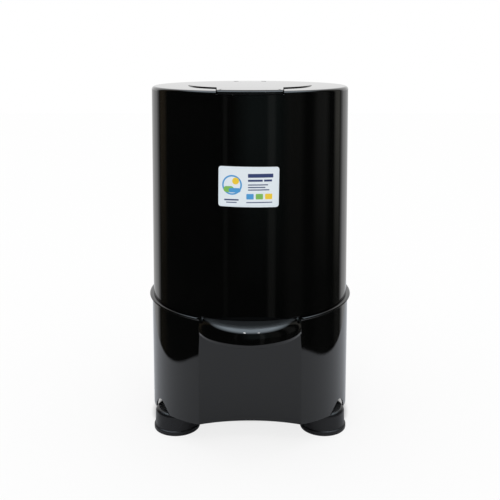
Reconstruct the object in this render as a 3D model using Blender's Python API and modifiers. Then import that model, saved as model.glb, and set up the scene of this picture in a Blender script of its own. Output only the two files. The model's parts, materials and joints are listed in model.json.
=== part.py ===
"""A free-standing spin dryer, built as the pieces that it comes apart into on a bench.

The dryer stands on three rubber feet. A base shell with a hollow front carries the outer casing,
whose deck holds a round lid with a tab that runs to the front. Inside, a motor on rubber mounts
carries the tub and spins the drum. Lengths are in metres, +Z is up and the front faces -Y.
"""
import math

import bmesh
import bpy
from mathutils import Matrix, Vector

MM = 0.001

# Fits and cuts
GAP = 0.3 * MM
MERGE = 0.01 * MM
OVERRUN = 6 * MM

# Roundness of the turned pieces
WIDE_STEPS = 72
DRUM_STEPS = 48
MOTOR_STEPS = 24
SMALL_STEPS = 16
FOOT_STEPS = 20
FOOT_BEAD_STEPS = 5
FILLET_STEPS = 3
HOSE_SIDES = 3
CABLE_SIDES = 1

# Whole machine
OVERALL_HEIGHT = 578 * MM
FOOT_AZIMUTHS = (60, 180, 300)
FOOT_NAMES = ("front_right", "rear", "front_left")

# Outer casing
CASING_SEAM_RADIUS = 167.5 * MM
CASING_TAPER = 5.5 * MM
CASING_WALL = 2.6 * MM
SHOULDER_RADIUS = 5 * MM
LEDGE_DEPTH = 11.9 * MM
LEDGE_WIDTH = 6.8 * MM
CASING_TOP_RADIUS = CASING_SEAM_RADIUS - CASING_TAPER

# Base shell
BASE_STEP = 2.2 * MM
BASE_FLARE = 1.8 * MM
BASE_WALL = 2.6 * MM
BASE_LIFT = 17 * MM
BEAD_HEIGHT = 8 * MM
BEAD_PROUD = 1.4 * MM
RIM_WIDTH = 9.5 * MM
RECESS_HALF_WIDTH = 82 * MM
RECESS_DEPTH = 40.5 * MM
BASE_BACK_STEPS = 60
RECESS_STEPS = 10
ARCH_RISE = 10.5 * MM
ARCH_SLOPE = 0.288
NOTCH_TUCK = 4.5 * MM
NOTCH_APEX = 53 * MM
NOTCH_LEAN = 1.5
NOTCH_STEPS = 6
BASE_TOP_RADIUS = CASING_SEAM_RADIUS + BASE_STEP
BASE_BOTTOM_RADIUS = BASE_TOP_RADIUS + BASE_FLARE
RECESS_FACE = BASE_BOTTOM_RADIUS - RECESS_DEPTH

# Hood over the drain spout
HOOD_PROUD = 31.5 * MM
HOOD_LIP = 23 * MM
HOOD_WALL = 2.6 * MM
HOOD_FILLET = 6 * MM
HOOD_REACH = BASE_BOTTOM_RADIUS + HOOD_PROUD

# Feet
FOOT_INSET = 27 * MM
FOOT_RIM_RADIUS = 39 * MM
FOOT_RIM_PROUD = 4 * MM
FOOT_RIM_HEIGHT = 7 * MM
FOOT_RIM_WIDTH = 10 * MM
FOOT_BODY_HEIGHT = 31 * MM
FOOT_NECK_RADIUS = 13 * MM
FOOT_CUP_DEPTH = 4 * MM
FOOT_BORE_FLOOR = 20 * MM
BOLT_RADIUS = 4 * MM
BOLT_NUT_RADIUS = 6.5 * MM
BOLT_NUT_HEIGHT = 6.5 * MM
BOLT_END = 3 * MM
FOOT_CIRCLE = BASE_BOTTOM_RADIUS - FOOT_INSET
FOOT_BODY_RADIUS = FOOT_RIM_RADIUS - FOOT_RIM_PROUD
FOOT_CUP_RADIUS = FOOT_RIM_RADIUS - FOOT_RIM_WIDTH
NOTCH_WIDTH = 2 * (FOOT_BODY_RADIUS - NOTCH_TUCK)

# Base frame, mounts and motor cradle
FRAME_HEIGHT = 58 * MM
FRAME_THICK = 3 * MM
FRAME_LEDGE = 8 * MM
MOUNT_INSET = 52.5 * MM
MOUNT_RADIUS = 18 * MM
MOUNT_WAIST = 12 * MM
MOUNT_LENGTH = 34.7 * MM
MOUNT_LIP = 6 * MM
CRADLE_THICK = 3 * MM
CRADLE_CLEARANCE = 5 * MM
CRADLE_FIT = 1 * MM
POST_INSET = 8 * MM
POST_RADIUS = 6 * MM
MOUNT_CIRCLE = FOOT_CIRCLE - MOUNT_INSET
FRAME_HOLE = MOUNT_CIRCLE - MOUNT_RADIUS - FRAME_LEDGE
CRADLE_RADIUS = RECESS_FACE - CRADLE_CLEARANCE
POST_CIRCLE = CRADLE_RADIUS - POST_INSET

# Motor
CAN_RADIUS = 58 * MM
CAN_WALL = 2.5 * MM
CAN_LENGTH = 79.4 * MM
BELL_FLANGE_WIDTH = 8 * MM
BELL_FLANGE = 4.7 * MM
BELL_BODY_RADIUS = 42 * MM
BELL_DEPTH = 13.6 * MM
BELL_LIP = 2.5 * MM
UPPER_BELL_HEIGHT = 16.7 * MM
UPPER_BELL_SLOPE = 18 * MM
UPPER_BELL_CHAMFER = 6 * MM
BEARING_RADIUS = 17.5 * MM
BEARING_WIDTH = 10 * MM
CORE_BORE = 33 * MM
AIR_GAP = 0.7 * MM
ROTOR_OVERHANG = 2 * MM
WINDING_INSET = 4 * MM
WINDING_CLEARANCE = 2.5 * MM
WINDING_HEIGHT = 13 * MM
WINDING_ROOM = 5.7 * MM
BELL_FLANGE_RADIUS = CAN_RADIUS + BELL_FLANGE_WIDTH
UPPER_BELL_TOP_RADIUS = CAN_RADIUS - UPPER_BELL_SLOPE
CRADLE_HOLE = BELL_BODY_RADIUS + CRADLE_FIT
CORE_LENGTH = CAN_LENGTH - 2 * (WINDING_HEIGHT + WINDING_ROOM)
ROTOR_RADIUS = CORE_BORE - AIR_GAP
ROTOR_LENGTH = CORE_LENGTH + 2 * ROTOR_OVERHANG
WINDING_INNER = CORE_BORE + WINDING_INSET
WINDING_OUTER = CAN_RADIUS - CAN_WALL - WINDING_CLEARANCE

# Shaft and what it carries below the motor
SHAFT_RADIUS = 8 * MM
SHAFT_TAIL = 36 * MM
SHAFT_ROOM = 2 * MM
FAN_RADIUS = 42 * MM
FAN_HUB_RADIUS = 14 * MM
FAN_WIDTH = 9 * MM
FAN_BLADES = 6
FAN_BLADE_SHARE = 0.32
BRAKE_DRUM_RADIUS = 28 * MM
BRAKE_DRUM_WIDTH = 13 * MM
BRAKE_DRUM_DROP = 5 * MM
SHAFT_BORE = SHAFT_RADIUS + GAP
BELL_LIP_BORE = SHAFT_RADIUS + SHAFT_ROOM

# Brake lever, its pad, post and cable
LEVER_PIVOT_X = 30 * MM
LEVER_SETBACK = 22 * MM
LEVER_PAD_REACH = 36 * MM
LEVER_CABLE_REACH = 30 * MM
LEVER_WIDTH = 9 * MM
LEVER_EYE_RADIUS = 9 * MM
LEVER_THICK = 6 * MM
PAD_CLEARANCE = 5 * MM
PAD_LENGTH = 22 * MM
POST_SHANK_RADIUS = 4 * MM
POST_HEAD_RADIUS = 8 * MM
POST_HEAD = 3 * MM
CABLE_RADIUS = 2.5 * MM
CABLE_INSET = 13 * MM
CABLE_AZIMUTH = 158
CABLE_STANDOFF = 0.9 * MM
CABLE_END_RUN = 14 * MM
LEVER_PIVOT_Y = BRAKE_DRUM_RADIUS + LEVER_SETBACK
CABLE_RUN_RADIUS = CASING_TOP_RADIUS - CABLE_INSET

# Lid
DECK_WIDTH = 61 * MM
LID_SEAM = 0.8 * MM
LID_WALL = 2.6 * MM
LID_RIM = 6 * MM
TAB_REAR_HALF_WIDTH = 52 * MM
TAB_TAPER = 3 * MM
LID_STEPS = 54
LINER_CLEARANCE = 1.5 * MM
LINER_WALL = 2 * MM
LINER_DEPTH = 7.3 * MM
GASKET_WIDTH = 4.6 * MM
LID_RADIUS = CASING_TOP_RADIUS - DECK_WIDTH
NECK_RADIUS = LID_RADIUS + LID_SEAM
LEDGE_RADIUS = NECK_RADIUS - LEDGE_WIDTH
LINER_RADIUS = LEDGE_RADIUS - LINER_CLEARANCE
TAB_FRONT_HALF_WIDTH = TAB_REAR_HALF_WIDTH - TAB_TAPER

# Hinge
HINGE_SETBACK = 12 * MM
HINGE_DROP = 4 * MM
BARREL_RADIUS = 4 * MM
TONGUE_HALF_WIDTH = 20 * MM
HINGE_PIN_RADIUS = 1.5 * MM
EAR_WIDTH = 8 * MM
EAR_REACH = 5.4 * MM
HINGE_FOOT_WIDTH = 7 * MM
HINGE_FOOT_DEPTH = 10 * MM

# Latch tray, lid lock and lid switch
TRAY_DEPTH = 9.6 * MM
TRAY_WALL = 2.4 * MM
TRAY_FLANGE = 6 * MM
HOOK_INSET = 27 * MM
HOOK_WIDTH = 10 * MM
HOOK_THICK = 3 * MM
HOOK_TIP = 3 * MM
HOOK_FOOT_HALF_WIDTH = 8 * MM
HOOK_FOOT_THICK = 2.4 * MM
HOOK_WINDOW = 6 * MM
HOOK_ROOM = 3 * MM
LOCK_BOLT_RADIUS = 2.2 * MM
LOCK_BOLT_LENGTH = 26 * MM
LOCK_BOLT_SETBACK = 4 * MM
LOCK_BOLT_DROP = 8.4 * MM
ACTUATOR_LENGTH = 40 * MM
ACTUATOR_WIDTH = 24 * MM
ACTUATOR_FLOOR = 5.6 * MM
ACTUATOR_SETBACK = 15 * MM
SWITCH_X = 25 * MM
SWITCH_LENGTH = 20 * MM
SWITCH_WIDTH = 10 * MM
SWITCH_STEP = 1 * MM
PLUNGER_RADIUS = 1.8 * MM
PLUNGER_LENGTH = 15 * MM
PLUNGER_STROKE = 3 * MM
HOOK_Y = CASING_TOP_RADIUS - HOOK_INSET
ACTUATOR_HEIGHT = LOCK_BOLT_DROP + ACTUATOR_FLOOR
SWITCH_HEIGHT = ACTUATOR_HEIGHT - SWITCH_STEP

# Tub and its cover
TUB_LIFT = 5 * MM
TUB_INSET = 27.5 * MM
TUB_WALL = 2.5 * MM
TUB_CORNER = 6 * MM
SEAL_WIDTH = 3.5 * MM
COLLAR_WALL = 3.9 * MM
COLLAR_HEIGHT = 8 * MM
COVER_SKIRT = 14.5 * MM
COVER_LAP = 1.5 * MM
TUB_RADIUS = CASING_TOP_RADIUS - TUB_INSET
COLLAR_BORE = SHAFT_BORE + SEAL_WIDTH + GAP
COLLAR_RADIUS = COLLAR_BORE + COLLAR_WALL
COVER_NECK_RADIUS = LEDGE_RADIUS + COVER_LAP

# Drain spout
SPOUT_INSET = 29.5 * MM
SPOUT_RADIUS = 11 * MM
SPOUT_WALL = 2.5 * MM
SPOUT_BEND = 22 * MM
SPOUT_DROP = 10 * MM
SPOUT_PROUD = 34 * MM
SPOUT_FLANGE_RADIUS = 15 * MM
SPOUT_FLANGE = 3 * MM
SPOUT_ROOM = 2 * MM
SPOUT_BEND_STEPS = 6
SPOUT_CIRCLE = TUB_RADIUS - SPOUT_INSET
SPOUT_REACH = RECESS_FACE + SPOUT_PROUD

# Spinning drum
DRUM_CLEARANCE = 14 * MM
DRUM_WALL = 1.5 * MM
DRUM_CORNER = 3 * MM
DRUM_HEADROOM = 41.7 * MM
MOUTH_STEP = 2.5 * MM
DRUM_HOLE_RADIUS = 4 * MM
DRUM_HOLE_ROWS = 4
DRUM_HOLES_ROUND = 12
DRUM_HOLE_SIDES = 6
HOLE_BAND_SHARE = 0.72
HUB_RADIUS = 42 * MM
HUB_THICK = 9 * MM
HUB_CLEARANCE = 2.7 * MM
HUB_NECK_RADIUS = 19 * MM
CLAMP_THICK = 10 * MM
NUT_RADIUS = 14 * MM
NUT_HEIGHT = 20 * MM
THREAD_RADIUS = 6 * MM
THREAD_LENGTH = 10 * MM
BALANCE_WIDTH = 12 * MM
BALANCE_HEIGHT = 13 * MM
DRUM_RADIUS = TUB_RADIUS - TUB_WALL - DRUM_CLEARANCE
DRUM_MOUTH_RADIUS = COVER_NECK_RADIUS + MOUTH_STEP

# Capacitor and cord inlet
CAPACITOR_RADIUS = 18 * MM
CAPACITOR_LENGTH = 62 * MM
CAPACITOR_ROOM = 1.9 * MM
CAPACITOR_AZIMUTH = 238
CUP_WALL = 2 * MM
CUP_HEIGHT = 24 * MM
GLAND_AZIMUTH = 180
GLAND_HEIGHT = 96 * MM
GLAND_RADIUS = 7 * MM
GLAND_BORE = 4 * MM
GLAND_HEAD_RADIUS = 11 * MM
GLAND_HEAD = 4 * MM
GLAND_NOSE = 6 * MM
GLAND_TAIL = 10 * MM
CAPACITOR_CIRCLE = BASE_BOTTOM_RADIUS - BASE_WALL - CAPACITOR_RADIUS - CUP_WALL - CAPACITOR_ROOM

# Label plate
LABEL_WIDTH = 92 * MM
LABEL_HEIGHT = 61 * MM
LABEL_THICK = 0.5 * MM
LABEL_DROP = 143 * MM
LABEL_SHIFT = -2 * MM
LABEL_STEPS = 12
LABEL_MIDDLE = OVERALL_HEIGHT - LABEL_DROP

# Levels, from the frame up to the motor's top, which sets the seam
SEAM_CLEARANCE = 24 * MM
FRAME_TOP = FRAME_HEIGHT + FRAME_THICK
MOUNT_LOW = FRAME_TOP + GAP
CRADLE_LOW = MOUNT_LOW + MOUNT_LENGTH + GAP
CRADLE_TOP = CRADLE_LOW + CRADLE_THICK
BELL_LOW = CRADLE_TOP + GAP
CAN_LOW = BELL_LOW + BELL_FLANGE + GAP
CAN_TOP = CAN_LOW + CAN_LENGTH
MOTOR_MIDDLE = (CAN_LOW + CAN_TOP) / 2
BELL_FLOOR = BELL_LOW - BELL_DEPTH
UPPER_BELL_LOW = CAN_TOP + GAP
UPPER_BELL_TOP = UPPER_BELL_LOW + UPPER_BELL_HEIGHT
BRAKE_DRUM_TOP = BELL_FLOOR - BRAKE_DRUM_DROP
BRAKE_DRUM_LOW = BRAKE_DRUM_TOP - BRAKE_DRUM_WIDTH
BRAKE_MIDDLE = (BRAKE_DRUM_TOP + BRAKE_DRUM_LOW) / 2
SHAFT_LOW = BELL_FLOOR - SHAFT_TAIL
SEAM_HEIGHT = UPPER_BELL_TOP + SEAM_CLEARANCE
CASING_LOW = SEAM_HEIGHT + GAP

# Levels, from the deck down to the tub's cover
DECK_UNDERSIDE = OVERALL_HEIGHT - CASING_WALL
LEDGE_TOP = OVERALL_HEIGHT - LEDGE_DEPTH
LEDGE_LOW = LEDGE_TOP - CASING_WALL
LID_SKIN_LOW = OVERALL_HEIGHT - LID_WALL
LID_RIM_LOW = OVERALL_HEIGHT - LID_RIM
TRAY_LOW = DECK_UNDERSIDE - TRAY_DEPTH
TRAY_FLOOR = TRAY_LOW + TRAY_WALL
TRAY_HALF_WIDTH = TAB_REAR_HALF_WIDTH + LID_SEAM + TRAY_WALL
LOCK_BOLT_Z = TRAY_LOW - GAP - LOCK_BOLT_DROP
HOOK_LOW = LOCK_BOLT_Z - HOOK_WINDOW / 2 - HOOK_TIP
TUB_TOP = HOOK_LOW - TUB_WALL - 3 * GAP

# Levels of the tub and the drum
TUB_LOW = SEAM_HEIGHT + TUB_LIFT
TUB_FLOOR = TUB_LOW + TUB_WALL
COLLAR_TOP = TUB_LOW + COLLAR_HEIGHT
DRUM_LOW = COLLAR_TOP + HUB_CLEARANCE + HUB_THICK + GAP
DRUM_TOP = TUB_TOP - DRUM_HEADROOM
DRUM_HEIGHT = DRUM_TOP - DRUM_LOW
CLAMP_LOW = DRUM_LOW + DRUM_WALL + GAP
CLAMP_TOP = CLAMP_LOW + CLAMP_THICK

# The lid's hinge, the hollow front, the hood's curve and the middle of the whole
HINGE_Y = LID_RADIUS + HINGE_SETBACK
HINGE_Z = OVERALL_HEIGHT - HINGE_DROP
CREASE_Y = math.sqrt(BASE_BOTTOM_RADIUS ** 2 - RECESS_HALF_WIDTH ** 2)
RECESS_SAGITTA = CREASE_Y - RECESS_FACE
RECESS_RADIUS = (RECESS_HALF_WIDTH ** 2 + RECESS_SAGITTA ** 2) / (2 * RECESS_SAGITTA)
RECESS_CENTRE = RECESS_FACE + RECESS_RADIUS
HOOD_SAGITTA = HOOD_REACH - CREASE_Y
HOOD_RADIUS = (RECESS_HALF_WIDTH ** 2 + HOOD_SAGITTA ** 2) / (2 * HOOD_SAGITTA)
HOOD_CENTRE = HOOD_REACH - HOOD_RADIUS
REAR_REACH = FOOT_CIRCLE + FOOT_RIM_RADIUS
AXIS_SHIFT = (HOOD_REACH - REAR_REACH) / 2

# Colours, as base colour, roughness and metallic
GLOSS_BLACK = ("gloss black plastic", (0.004, 0.004, 0.005), 0.06, 0.0)
LABEL_WHITE = ("label white", (0.72, 0.78, 0.82), 0.35, 0.0)
BLACK_RUBBER = ("black rubber", (0.012, 0.012, 0.013), 0.6, 0.0)
ZINC_STEEL = ("zinc plated steel", (0.55, 0.55, 0.53), 0.35, 1.0)
STAINLESS = ("stainless steel", (0.62, 0.62, 0.62), 0.25, 1.0)
CAST_ALUMINIUM = ("cast aluminium", (0.48, 0.49, 0.5), 0.45, 1.0)
COPPER_WIRE = ("copper winding", (0.45, 0.16, 0.06), 0.4, 0.6)
CORE_STEEL = ("laminated core", (0.2, 0.2, 0.21), 0.5, 0.8)
GREY_PLASTIC = ("grey plastic", (0.22, 0.23, 0.24), 0.45, 0.0)
WHITE_PLASTIC = ("white plastic", (0.7, 0.7, 0.67), 0.4, 0.0)
PAD_BROWN = ("brake lining", (0.12, 0.07, 0.04), 0.8, 0.0)

for old in list(bpy.data.objects):
    bpy.data.objects.remove(old)

PARTS = bpy.data.collections.new("spin_dryer")
CUTTERS = bpy.data.collections.new("cutters")
bpy.context.scene.collection.children.link(PARTS)
bpy.context.scene.collection.children.link(CUTTERS)


def empty(name, place, carrier=None):
    """A point that pieces hang on, such as the drum's axis or the lid's hinge."""
    point = bpy.data.objects.new(name, None)
    point.location = Vector(place) - (Vector(carrier.location) if carrier else Vector())
    point.parent = carrier
    PARTS.objects.link(point)
    return point


DRYER = empty("drum_axis", (0, AXIS_SHIFT, 0))


def axis_point(name, x, y, z):
    """An empty on a joint's axis, given from the drum's axis."""
    point = bpy.data.objects.new(name, None)
    point.location = (x, y, z)
    point.parent = DRYER
    PARTS.objects.link(point)
    return point


LID_AXIS = axis_point("lid_axis", 0, HINGE_Y, HINGE_Z)
BRAKE_AXIS = axis_point("brake_axis", LEVER_PIVOT_X, LEVER_PIVOT_Y, BRAKE_MIDDLE)


def paint(piece, finish):
    """Gives a piece its own Principled material."""
    title, colour, roughness, metallic = finish
    coat = bpy.data.materials.new(piece.name + " " + title)
    coat.use_nodes = True
    shader = coat.node_tree.nodes["Principled BSDF"]
    shader.inputs["Base Color"].default_value = (*colour, 1.0)
    shader.inputs["Roughness"].default_value = roughness
    shader.inputs["Metallic"].default_value = metallic
    piece.data.materials.clear()
    piece.data.materials.append(coat)


def part(piece, finish, carrier=DRYER):
    """Makes an object a piece of the dryer, hung on its carrier without moving it."""
    PARTS.objects.link(piece)
    paint(piece, finish)
    if carrier is not DRYER:
        piece.location = Vector(piece.location) - Vector(carrier.location)
    piece.parent = carrier
    return piece


def tool(piece):
    """Makes an object a cutter or a shape to join, which isn't a piece itself."""
    CUTTERS.objects.link(piece)
    piece.parent = DRYER
    piece.hide_render = True
    piece.display_type = "WIRE"
    return piece


def shape(piece, other, operation):
    """Cuts, joins or keeps the common space of two solids."""
    step = piece.modifiers.new(other.name, "BOOLEAN")
    step.operation = operation
    step.solver = "EXACT"
    step.object = other


def cut(piece, cutter):
    shape(piece, tool(cutter), "DIFFERENCE")


def join(piece, other):
    shape(piece, tool(other), "UNION")


def keep_common(piece, other):
    shape(piece, tool(other), "INTERSECT")


def turned(name, profile, steps):
    """A turned solid. Its (radius, height) profile runs down the outer side, and closes on the axis
    where it starts and ends there, or else on itself."""
    points = [(radius, 0, height) for radius, height in profile]
    edges = [(index, index + 1) for index in range(len(points) - 1)]
    if profile[0][0] > 0:
        edges.append((len(points) - 1, 0))
    mesh = bpy.data.meshes.new(name)
    mesh.from_pydata(points, edges, [])
    piece = bpy.data.objects.new(name, mesh)
    turn = piece.modifiers.new("turn", "SCREW")
    turn.steps = steps
    turn.render_steps = steps
    turn.use_merge_vertices = True
    turn.merge_threshold = MERGE
    turn.use_smooth_shade = True
    return piece


def ring(name, inner, outer, low, high, steps):
    """A plain ring or short tube."""
    return turned(name, [(inner, high), (outer, high), (outer, low), (inner, low)], steps)


def rod(name, radius, low, high, steps):
    """A plain round bar, standing from low to high."""
    return turned(name, [(0, high), (radius, high), (radius, low), (0, low)], steps)


def block(name, low, high):
    """A box between two corners."""
    low, high = Vector(low), Vector(high)
    bm = bmesh.new()
    size = Matrix.Diagonal((*(high - low), 1))
    bmesh.ops.create_cube(bm, size=1, matrix=Matrix.Translation((low + high) / 2) @ size)
    mesh = bpy.data.meshes.new(name)
    bm.to_mesh(mesh)
    bm.free()
    return bpy.data.objects.new(name, mesh)


def solid_from_curve(name, curve, lift=0):
    """A closed mesh object from a curve, with its loose caps welded on."""
    holder = bpy.data.objects.new(name, curve)
    CUTTERS.objects.link(holder)
    graph = bpy.context.evaluated_depsgraph_get()
    mesh = bpy.data.meshes.new_from_object(holder.evaluated_get(graph))
    bm = bmesh.new()
    bm.from_mesh(mesh)
    bmesh.ops.remove_doubles(bm, verts=bm.verts, dist=MERGE)
    bmesh.ops.translate(bm, verts=bm.verts, vec=(0, 0, lift))
    bm.to_mesh(mesh)
    bm.free()
    bpy.data.objects.remove(holder)
    return bpy.data.objects.new(name, mesh)


def plate(name, outlines, low, high):
    """A flat outline with any holes, standing from low to high."""
    curve = bpy.data.curves.new(name, "CURVE")
    curve.dimensions = "2D"
    curve.fill_mode = "BOTH"
    curve.extrude = (high - low) / 2
    for outline in outlines:
        spline = curve.splines.new("POLY")
        spline.points.add(len(outline) - 1)
        spline.use_cyclic_u = True
        for point, (x, y) in zip(spline.points, outline):
            point.co = (x, y, 0, 1)
    return solid_from_curve(name, curve, (low + high) / 2)


def hose(name, route, radius, sides):
    """A round solid along a route of points. Sides counts the flats of its quarter."""
    curve = bpy.data.curves.new(name, "CURVE")
    curve.dimensions = "3D"
    curve.bevel_depth = radius
    curve.bevel_resolution = sides
    curve.use_fill_caps = True
    spline = curve.splines.new("POLY")
    spline.points.add(len(route) - 1)
    for point, place in zip(spline.points, route):
        point.co = (*place, 1)
    return solid_from_curve(name, curve)


def polar(radius, azimuth):
    """A point at a radius, with its azimuth in degrees from the front towards +X."""
    angle = math.radians(azimuth)
    return radius * math.sin(angle), -radius * math.cos(angle)


def circle(radius, steps, x=0, y=0):
    """The points of a circle."""
    turns = [2 * math.pi * step / steps for step in range(steps)]
    return [(x + radius * math.cos(turn), y + radius * math.sin(turn)) for turn in turns]


def arc(centre_x, centre_y, radius, start, end, steps):
    """Points along an arc, from a start angle to an end angle in degrees."""
    points = []
    for step in range(steps + 1):
        angle = math.radians(start + (end - start) * step / steps)
        points.append((centre_x + radius * math.cos(angle), centre_y + radius * math.sin(angle)))
    return points


def turn_outwards(piece, azimuth, height, radius=0):
    """Lays a piece's own +Z along a radius of the machine and its +Y upwards."""
    x, y = polar(radius, azimuth)
    piece.rotation_euler = (math.radians(90), 0, math.radians(azimuth))
    piece.location = (x, y, height)
    return piece


def casing_radius(height):
    """The casing's outer radius, which narrows a little towards its top."""
    share = (height - SEAM_HEIGHT) / (OVERALL_HEIGHT - SEAM_HEIGHT)
    return CASING_SEAM_RADIUS + (CASING_TOP_RADIUS - CASING_SEAM_RADIUS) * share


def casing_shoulder(inset):
    """The rounded top corner of the casing, inset from its outer face."""
    centre_z = OVERALL_HEIGHT - SHOULDER_RADIUS
    centre_r = casing_radius(centre_z) - SHOULDER_RADIUS
    return arc(centre_r, centre_z, SHOULDER_RADIUS - inset, 90, 0, FILLET_STEPS)


def tab_outline(grow, front):
    """The tab's outline alone, run back into the lid and out to a radius at the front."""
    rear_half = TAB_REAR_HALF_WIDTH + grow
    front_half = TAB_FRONT_HALF_WIDTH + grow
    rear_y = math.sqrt(LID_RADIUS ** 2 - TAB_REAR_HALF_WIDTH ** 2)
    front_y = math.sqrt(CASING_TOP_RADIUS ** 2 - TAB_FRONT_HALF_WIDTH ** 2)
    taper = (rear_half - front_half) / (front_y - rear_y)
    start_y = LID_RADIUS / 2
    start_half = rear_half + taper * (rear_y - start_y)
    end_half = rear_half + taper * (rear_y - front)
    return [(-start_half, -start_y), (-end_half, -front), (end_half, -front), (start_half, -start_y)]


def lid_outline(grow, front):
    """The lid's outline: a disc with its tab at the front, grown all round by a margin."""
    radius = LID_RADIUS + grow
    rear_half = TAB_REAR_HALF_WIDTH + grow
    front_half = TAB_FRONT_HALF_WIDTH + grow
    joint = math.degrees(math.asin(rear_half / radius))
    outline = arc(0, 0, radius, joint - 90, 270 - joint, LID_STEPS)
    corner = math.degrees(math.asin(front_half / front))
    return outline + arc(0, 0, front, 270 - corner, 270 + corner, FILLET_STEPS * 2)


def make_casing():
    """The outer casing: wall, rounded shoulder, deck, and the neck that the lid closes."""
    neck = NECK_RADIUS
    outer = [(neck, OVERALL_HEIGHT)] + casing_shoulder(0) + [(casing_radius(CASING_LOW), CASING_LOW)]
    inner = [(casing_radius(CASING_LOW) - CASING_WALL, CASING_LOW)] + casing_shoulder(CASING_WALL)[::-1]
    ledge = [(neck + CASING_WALL, DECK_UNDERSIDE), (neck + CASING_WALL, LEDGE_LOW),
             (LEDGE_RADIUS, LEDGE_LOW), (LEDGE_RADIUS, LEDGE_TOP), (neck, LEDGE_TOP)]
    casing = turned("outer_casing", outer + inner + ledge, WIDE_STEPS)
    high = OVERALL_HEIGHT + OVERRUN
    notch = tab_outline(LID_SEAM, CASING_SEAM_RADIUS + OVERRUN)
    tab_low = LID_RIM_LOW - LID_SEAM
    cut(casing, plate("tab_cutter", [notch], tab_low, high))
    slot = TONGUE_HALF_WIDTH + LID_SEAM
    cut(casing, block("tongue_cutter", (-slot, 0, tab_low), (slot, HINGE_Y, high)))
    ear = slot + EAR_WIDTH + LID_SEAM
    pocket_low = (-ear, neck + CASING_WALL + GAP, DECK_UNDERSIDE - OVERRUN)
    cut(casing, block("hinge_cutter", pocket_low, (ear, HINGE_Y + EAR_REACH + LID_SEAM, high)))
    return part(casing, GLOSS_BLACK)


def base_radius(height):
    """The base's outer radius, a little wider at the floor."""
    share = (height - BASE_LIFT) / (SEAM_HEIGHT - BASE_LIFT)
    return BASE_BOTTOM_RADIUS + (BASE_TOP_RADIUS - BASE_BOTTOM_RADIUS) * share


def base_outline(radius, inset):
    """Round the back of the base at a radius, then across its hollow front, inset from its face."""
    hollow = RECESS_RADIUS + inset
    crease_y = (hollow ** 2 - radius ** 2 - RECESS_CENTRE ** 2) / (2 * RECESS_CENTRE)
    crease_x = math.sqrt(radius ** 2 - crease_y ** 2)
    crease = math.degrees(math.atan2(crease_y, crease_x))
    back = arc(0, 0, radius, crease, 180 - crease, BASE_BACK_STEPS)
    side = math.degrees(math.atan2(crease_y + RECESS_CENTRE, crease_x))
    front = arc(0, -RECESS_CENTRE, hollow, 180 - side, side, RECESS_STEPS)
    return back + front[1:-1]


def lofted(name, levels):
    """A closed wall through outlines of equal count, each (height, outline), joined in a loop."""
    bm = bmesh.new()
    rows = [[bm.verts.new((x, y, height)) for x, y in outline] for height, outline in levels]
    for row, following in zip(rows, rows[1:] + rows[:1]):
        for index in range(len(row)):
            after = (index + 1) % len(row)
            bm.faces.new((row[index], row[after], following[after], following[index]))
    bmesh.ops.recalc_face_normals(bm, faces=bm.faces)
    mesh = bpy.data.meshes.new(name)
    bm.to_mesh(mesh)
    bm.free()
    mesh.shade_smooth()
    mesh.set_sharp_from_angle(angle=math.radians(30))
    return bpy.data.objects.new(name, mesh)


def notch_outline():
    """A pointed arch, its two sides being arcs that meet at the apex."""
    half = NOTCH_WIDTH / 2
    rise = NOTCH_APEX - BASE_LIFT
    centre = (rise ** 2 - half ** 2) / (2 * half)
    radius = half + centre
    top = math.degrees(math.atan2(rise, centre))
    right = arc(-centre, 0, radius, 0, top, NOTCH_STEPS)
    left = [(-x, y) for x, y in right[-2::-1]]
    return [(half, -OVERRUN)] + right + left + [(-half, -OVERRUN)]


def make_base():
    """The base shell, with its hollow front, bead, inward rim, front arch and three notches."""
    bead = BASE_TOP_RADIUS + BEAD_PROUD
    bead_low = SEAM_HEIGHT - BEAD_HEIGHT
    rim_low = SEAM_HEIGHT - BASE_WALL
    levels = [
        (SEAM_HEIGHT, base_outline(bead, 0)),
        (bead_low, base_outline(bead, 0)),
        (bead_low - BEAD_PROUD, base_outline(base_radius(bead_low), 0)),
        (BASE_LIFT, base_outline(BASE_BOTTOM_RADIUS, 0)),
        (BASE_LIFT, base_outline(BASE_BOTTOM_RADIUS - BASE_WALL, BASE_WALL)),
        (rim_low, base_outline(BASE_TOP_RADIUS - BASE_WALL, BASE_WALL)),
        (rim_low, base_outline(BASE_TOP_RADIUS - RIM_WIDTH, RIM_WIDTH)),
        (SEAM_HEIGHT, base_outline(BASE_TOP_RADIUS - RIM_WIDTH, RIM_WIDTH)),
    ]
    base = lofted("base_shell", levels)
    reach = HOOD_REACH + OVERRUN
    arch = block("arch_cutter", (-reach, -reach, -reach), (reach, 0, ARCH_RISE))
    arch.rotation_euler.x = -math.atan(ARCH_SLOPE)
    cut(base, arch)
    for name, azimuth in zip(FOOT_NAMES, FOOT_AZIMUTHS):
        notch = plate("notch_cutter_" + name, [notch_outline()], FOOT_CIRCLE, reach)
        lean = NOTCH_LEAN * (1 if azimuth < 180 else -1 if azimuth > 180 else 0)
        cut(base, turn_outwards(notch, azimuth + lean, BASE_LIFT))
    hole = rod("spout_cutter", SPOUT_RADIUS + SPOUT_ROOM, TUB_RADIUS / 2, reach, MOTOR_STEPS)
    cut(base, turn_outwards(hole, 0, spout_height()))
    inlet = rod("gland_cutter", GLAND_RADIUS + GAP, FOOT_CIRCLE, reach, MOTOR_STEPS)
    cut(base, turn_outwards(inlet, GLAND_AZIMUTH, GLAND_HEIGHT))
    return part(base, GLOSS_BLACK)


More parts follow.
